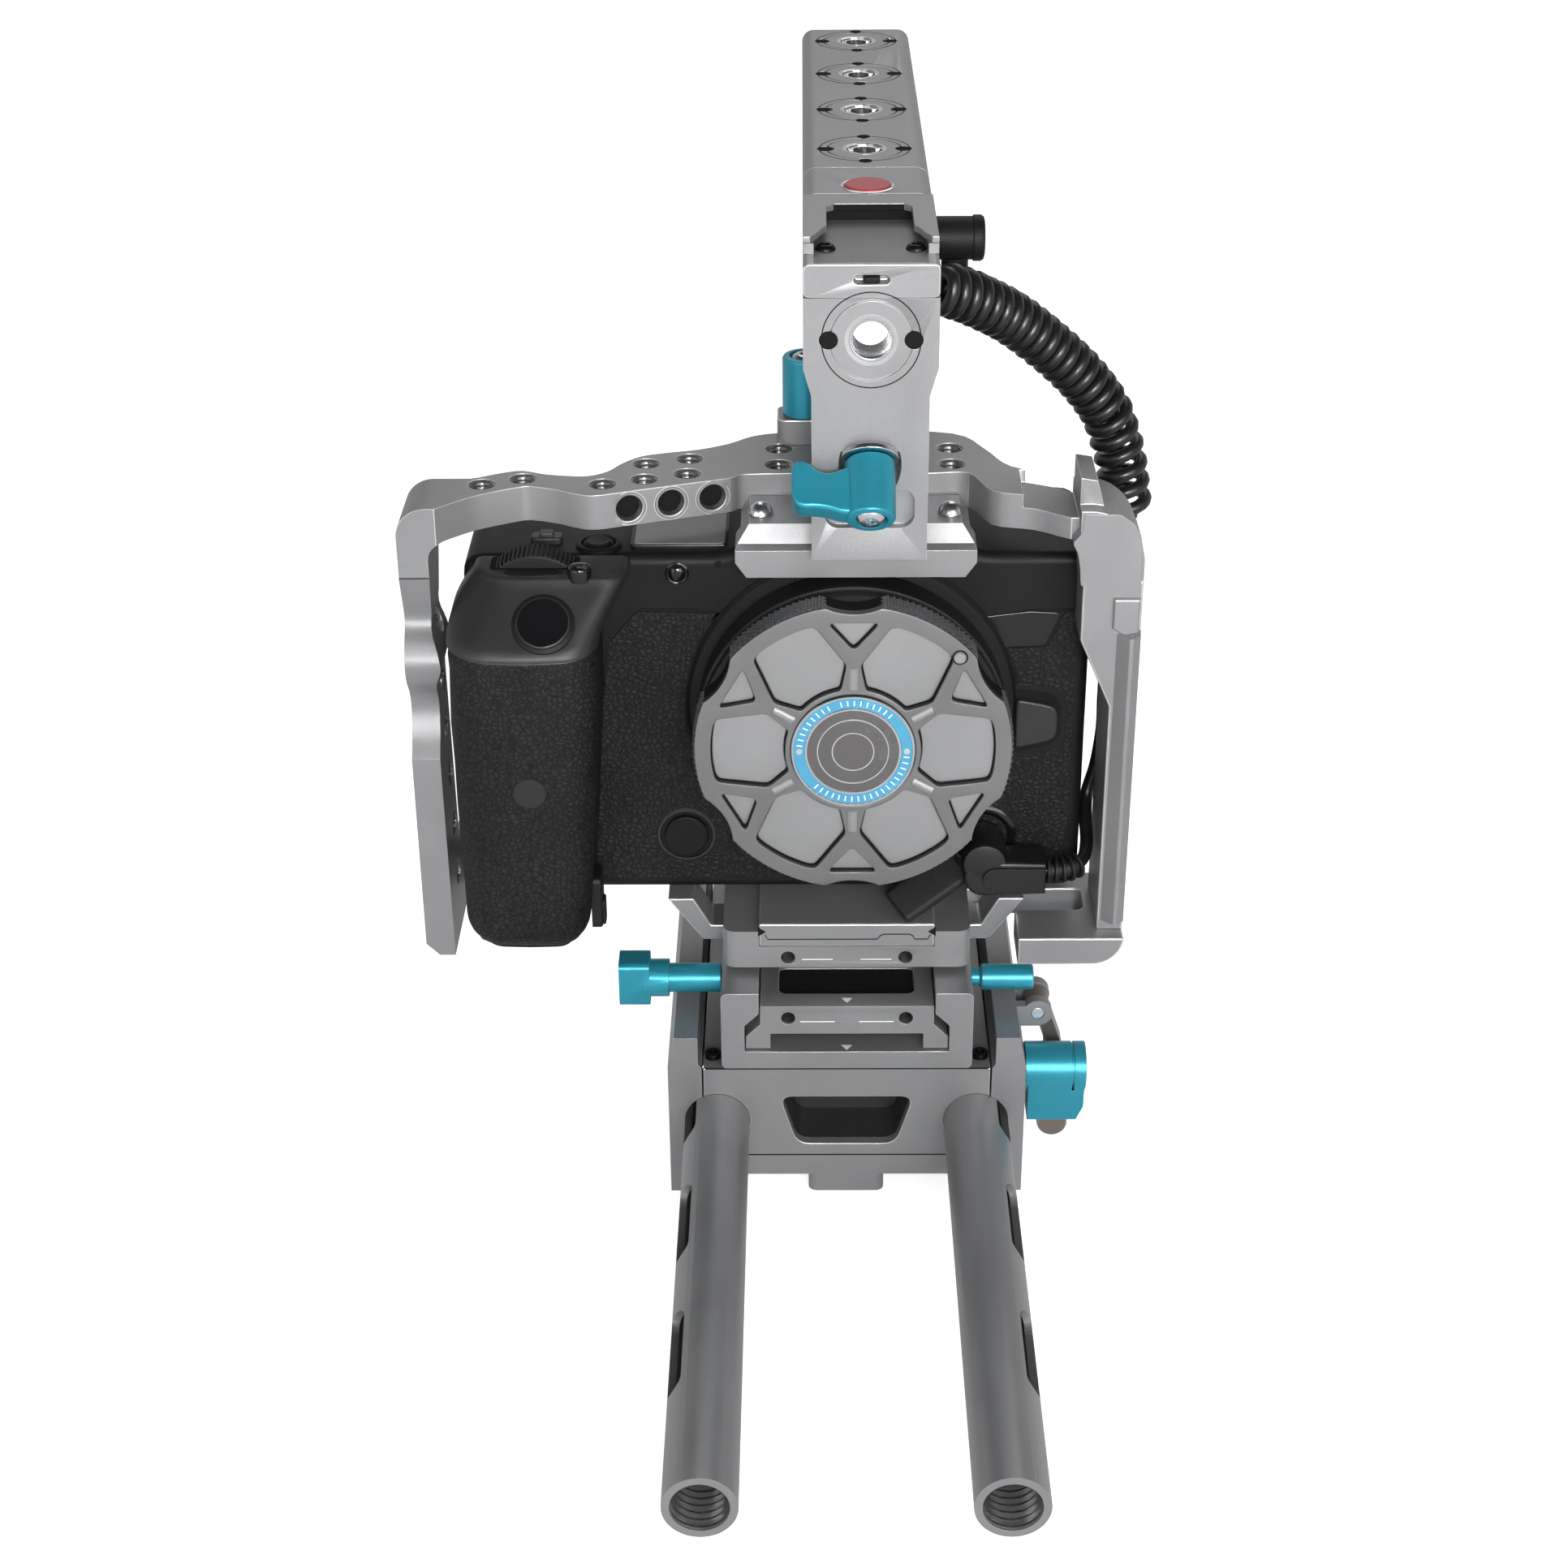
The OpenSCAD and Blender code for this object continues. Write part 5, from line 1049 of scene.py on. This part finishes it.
def angled_plug():
    port = at(PORT[0], 0, PORT[1])
    hub = port @ facing("front", -24.6)
    pod = [(45, 74.0), (45, 82.2)] + circle(31, 78.1, 4.6, 13, 90, 270)
    Shape().prism(pod, 9.0, facing("front", -24.6), 1.2, 3, both=True).lathe(
        [(5.2, -1.5), (5.2, 7.5), (4.6, 8.6), (3.2, 9.0), (0, 9.1)], 32, hub).lathe(
        [(2.6, -9.8), (2.6, 0)], 24, hub).finish("plug_body", "cord", nodes=("cord_plug",), angle=40)
    pad = [(44.6, 75.0), (44.6, 81.2)] + circle(33.6, 78.1, 3.1, 13, 90, 270)
    Shape().prism(pad, 0.7, facing("front", -33.5), 0.35, 2, z0=-0.3).finish("plug_grip", "rubber")
    path = [Vector(p) for p in ((45.8, -29, 78.0), (47.4, -28.9, 78.0), (49.0, -28.6, 78.05),
                                (50.6, -28.2, 78.1), (52.0, -27.4, 78.3))]
    ways = [(1, 0, 0), (1, 0.05, 0), (1, 0.16, 0.02), (1, 0.4, 0.05), (1, 0.8, 0.1)]
    rib = [(1.3, -0.4), (2.9, -0.4), (3.1, -0.2), (3.1, 0.2), (2.9, 0.4), (1.3, 0.4)]
    Shape().lathe(rib, 24, closed=True).stamp(
        "strain_relief", [aim(p, w) for p, w in zip(path, ways)], "rubber")
    Shape().tube(smooth_path(path, 4), 2.0, 16).finish("strain_core", "rubber")
    rim = [(8.0, -0.3), (8.0, 0.5), (7.4, 0.9), (6.6, 0.9), (5.4, 0.2), (5.4, -0.3)]
    Shape().lathe(rim, 44, port @ FRONT, closed=True).finish("port_rim", "gloss")


cord_socket()
angled_plug()


# Marks, seams, small plates and sheets of painted shade on the base and the sliding stage

def base_marks():
    marks = Shape()
    for x0, x1, y, z in ((2.8, 10.6, SLIDE_FRONT, 46.9), (3.2, 10.2, RISER_FRONT, 58.6)):
        for left, right in ((-x1, -x0), (x0, x1)):
            marks.prism(rect(left, right, z - 0.12, z + 0.12), 0.05, facing("front", y), z0=-0.1)
    marks.finish("engraved_lines", "mark")
    for name, y, z, body in (("index_arrow_stage", -41.4, 50.97, STAGE),
                             ("index_arrow_base", -43.2, 39.3, "base")):
        Shape().prism([(0, -1.1), (1.25, 0.9), (-1.25, 0.9)], 0.05, Matrix(), z0=-0.1).stamp(
            name, [at(0, y, z)], "mark", body)
    Shape().prism(rect(-15.5, 15.5, -38.5, -26.4, 1.9), 0.06, facing("top", 49.8), z0=-0.2).finish(
        "stage_pocket", "shade")
    Shape().prism(rect(-96.4, -90.0, 150.85, 151.1), 0.04, facing("front", -29.3), z0=-0.5).finish(
        "arm_seam", "shade")
    window = soft([(-11.4, 13.6), (11.4, 13.6), (15.4, 26.8), (-15.4, 26.8)], 3, 4)
    niche = facing("front", -31.0)
    Shape().prism(rect(-5, 5, 16.4, 26.6, 1.0), 0.9, niche, 0.25, 2, z0=-0.3).finish(
        "window_block", "dark", "base")
    # A dark metal sheet lines the window's floor and walls: painted shade inside the window.
    Shape().prism(inset(window, 0.1), 0.1, niche, z0=-0.1).plate(
        [inset(window, 0.03), inset(window, 0.22)], 11.6, facing("front", -31.2)).finish(
        "window_lining", "dark", "base")
    seams = Shape()
    for z in (10.4, 34.6):
        seams.prism(rect(-32.6, 32.6, z - 0.16, z + 0.16), 0.04, facing("front", -45.0), z0=-0.1)
    seams.finish("base_seams", "shade", "base")
    notches = Shape()
    for s in (-1, 1):
        notch = [(s * 20.2, 67.2), (s * 18.4, 66.0), (s * 20.2, 64.8)]
        notches.prism(notch, 0.06, facing("front", RISER_FRONT), z0=-0.2)
    notches.finish("plate_dovetails", "shade")
    seam = ((-18.6, 65.2), (-18.0, 64.0), (7.0, 64.0), (7.6, 64.9), (8.4, 65.3), (14.2, 65.3), (15.0, 64.9),
            (15.4, 64.0), (18.4, 64.0), (19.0, 65.2))
    Shape().tube([Vector((x, RISER_FRONT - 0.02, z)) for x, z in seam], 0.13, 6).finish("plate_seam", "shade")


base_marks()


# Back of the camera: screen glass, thumb rest, vents, doors and finder glass

def camera_back():
    back = facing("back", BACK_Y)
    glass = mirrored(rect(-22.6, 45.6, 84.0, 130.0, 1.5))
    Shape().prism(glass, 0.25, facing("back", 21.0), 0.1, 2, z0=-0.1).finish(
        "screen_glass", "gloss", "rear_screen")
    rest = soft([(-80, 118), (-64, 122), (-52, 130), (-44, 146), (-56, 148), (-80, 147)], 4, 4)
    Shape().prism(mirrored(rest), 1.2, back, 0.8, 3, z0=-0.2).finish("thumb_rest", "leather")
    Shape().prism(mirrored(rect(-81, -30, 72, 112, 4)), 0.5, back, 0.25, 2, z0=-0.2).finish(
        "back_leather", "leather")
    slits = Shape()
    for k in range(6):
        slits.prism(mirrored(rect(-40 + 2.4 * k, -38.8 + 2.4 * k, 139, 144, 0.5)), 0.08, back, z0=-0.2)
    slits.finish("speaker_slits", "shade")
    Shape().prism(rect(-14, 14, 74, 130, 3), 0.6, facing("left", BODY_LEFT), 0.3, 2, z0=-0.3).finish(
        "card_door", "black")
    covers = Shape()
    for z0, z1 in ((76, 104), (107, 136)):
        covers.prism(rect(-13, 13, z0, z1, 3), 0.6, facing("right", BODY_RIGHT), 0.3, 2, z0=-0.3)
    covers.finish("port_covers", "rubber")
    Shape().prism(mirrored(rect(-12, 14, 139, 151, 4)), 0.3, facing("back", 23.1), 0.2, 2, z0=-0.2).finish(
        "finder_glass", "gloss")


camera_back()


# Right arm: a bevelled bar with a tab, and a corner plate

def right_bar():
    foot = -31.0
    section = [(57.2, -31.4), (60.5, -34.3), (61.3, -34.3), (63.0, -32.6), (63.0, foot), (57.2, foot)]
    ends = ((66.6, 1.0), (138.4, 1.0), (139.6, 0.35))
    tab = [(56.8, 140.2), (59.4, 138.6), (62.4, 139.4), (62.4, 147.2), (56.8, 147.2)]
    corner = [(49.5, 149.9), (62.4, 149.9), (62.4, 158.6), (61.8, 161.6), (60.2, 164.4), (57.2, 166.4),
              (49.8, 166.4), (49.2, 162.0), (47.4, 159.9), (48.6, 157.5), (49.2, 154.0)]
    front = facing("front", -32.0)
    Shape().loft([[(x, foot + (y - foot) * share, z) for x, y in section] for z, share in ends]).prism(
        tab, 1.3, front, 0.4, 2, z0=-0.4).finish("right_bar", "grey", angle=20)
    Shape().prism(soft(corner, 0.6, 2), 0.2, front, 0.15, 2, z0=-8.0).finish("right_corner", "grey", angle=30)


right_bar()


# Floor, world and lamps

LAMPS = (("key", (0.5, -1.1, 0.55), 0.8, 8.6, 180, 0.11), ("fill", (-0.8, -0.9, 0.4), 0.8, 2.6, 180, 0.11),
         ("upper", (0.05, -1.0, 0.5), 0.3, 0.42, 32, 0.21), ("back", (0.1, 0.9, 1.1), 0.8, 2.9, 180, 0.11))


def pale_floor():
    bm = bmesh.new()
    bmesh.ops.create_grid(bm, x_segments=1, y_segments=1, size=6)
    me = bpy.data.meshes.new("floor")
    bm.to_mesh(me)
    bm.free()
    floor = new_object("floor", me)
    floor.location = (0, 0, -0.0004)
    m = bpy.data.materials.new("pale_floor")
    m.use_nodes = True
    t = m.node_tree
    bsdf = t.nodes["Principled BSDF"]
    for key, value in (("Roughness", 0.9), ("Base Color", (0.8, 0.8, 0.8, 1)),
                       ("Emission Color", (1, 1, 1, 1))):
        bsdf.inputs[key].default_value = value
    path = add(t, "ShaderNodeLightPath")
    glow = add(t, "ShaderNodeMapRange", To_Min=0.12, To_Max=0.72)
    connect(t, (path, "Is Camera Ray", glow, "Value"), (glow, "Result", bsdf, "Emission Strength"))
    me.materials.append(m)


def white_world():
    """White to the camera; metal and glass see a white that fades towards the top."""
    world = bpy.data.worlds.new("studio")
    bpy.context.scene.world = world
    world.use_nodes = True
    t = world.node_tree
    plain = t.nodes["Background"]
    plain.inputs["Color"].default_value = (0.95, 0.97, 1.0, 1)
    plain.inputs["Strength"].default_value = 0.36
    white = add(t, "ShaderNodeBackground", Color=(1, 1, 1, 1))
    path = add(t, "ShaderNodeLightPath")
    where = add(t, "ShaderNodeTexCoord")
    split = add(t, "ShaderNodeSeparateXYZ")
    fade = add(t, "ShaderNodeMapRange", From_Min=-0.05, From_Max=0.75, To_Min=0.8, To_Max=0.05)
    level, mirror, clear = (add(t, "ShaderNodeMath") for _ in range(3))
    for node in (level, mirror, clear):
        node.operation = "MAXIMUM"
    pick = add(t, "ShaderNodeMixShader")
    connect(t, (where, "Generated", split, 0), (split, "Z", fade, "Value"), (fade, "Result", level, 0),
            (path, "Is Camera Ray", level, 1), (level, 0, white, "Strength"),
            (path, "Is Camera Ray", mirror, 0), (path, "Is Glossy Ray", mirror, 1), (mirror, 0, clear, 0),
            (path, "Is Transmission Ray", clear, 1), (clear, 0, pick, 0), (plain, 0, pick, 1),
            (white, 0, pick, 2), (pick, 0, t.nodes["World Output"], 0))


def lamps():
    for name, place, size, power, spread, height in LAMPS:
        data = bpy.data.lights.new(name, "AREA")
        data.energy = power
        data.size = size
        data.spread = radians(spread)
        o = new_object(name, data)
        o.location = place
        o.rotation_euler = (Vector((0, -0.02, height)) - Vector(place)).to_track_quat("-Z", "Y").to_euler()


pale_floor()
white_world()
lamps()
bpy.context.scene.view_settings.view_transform = "Standard"
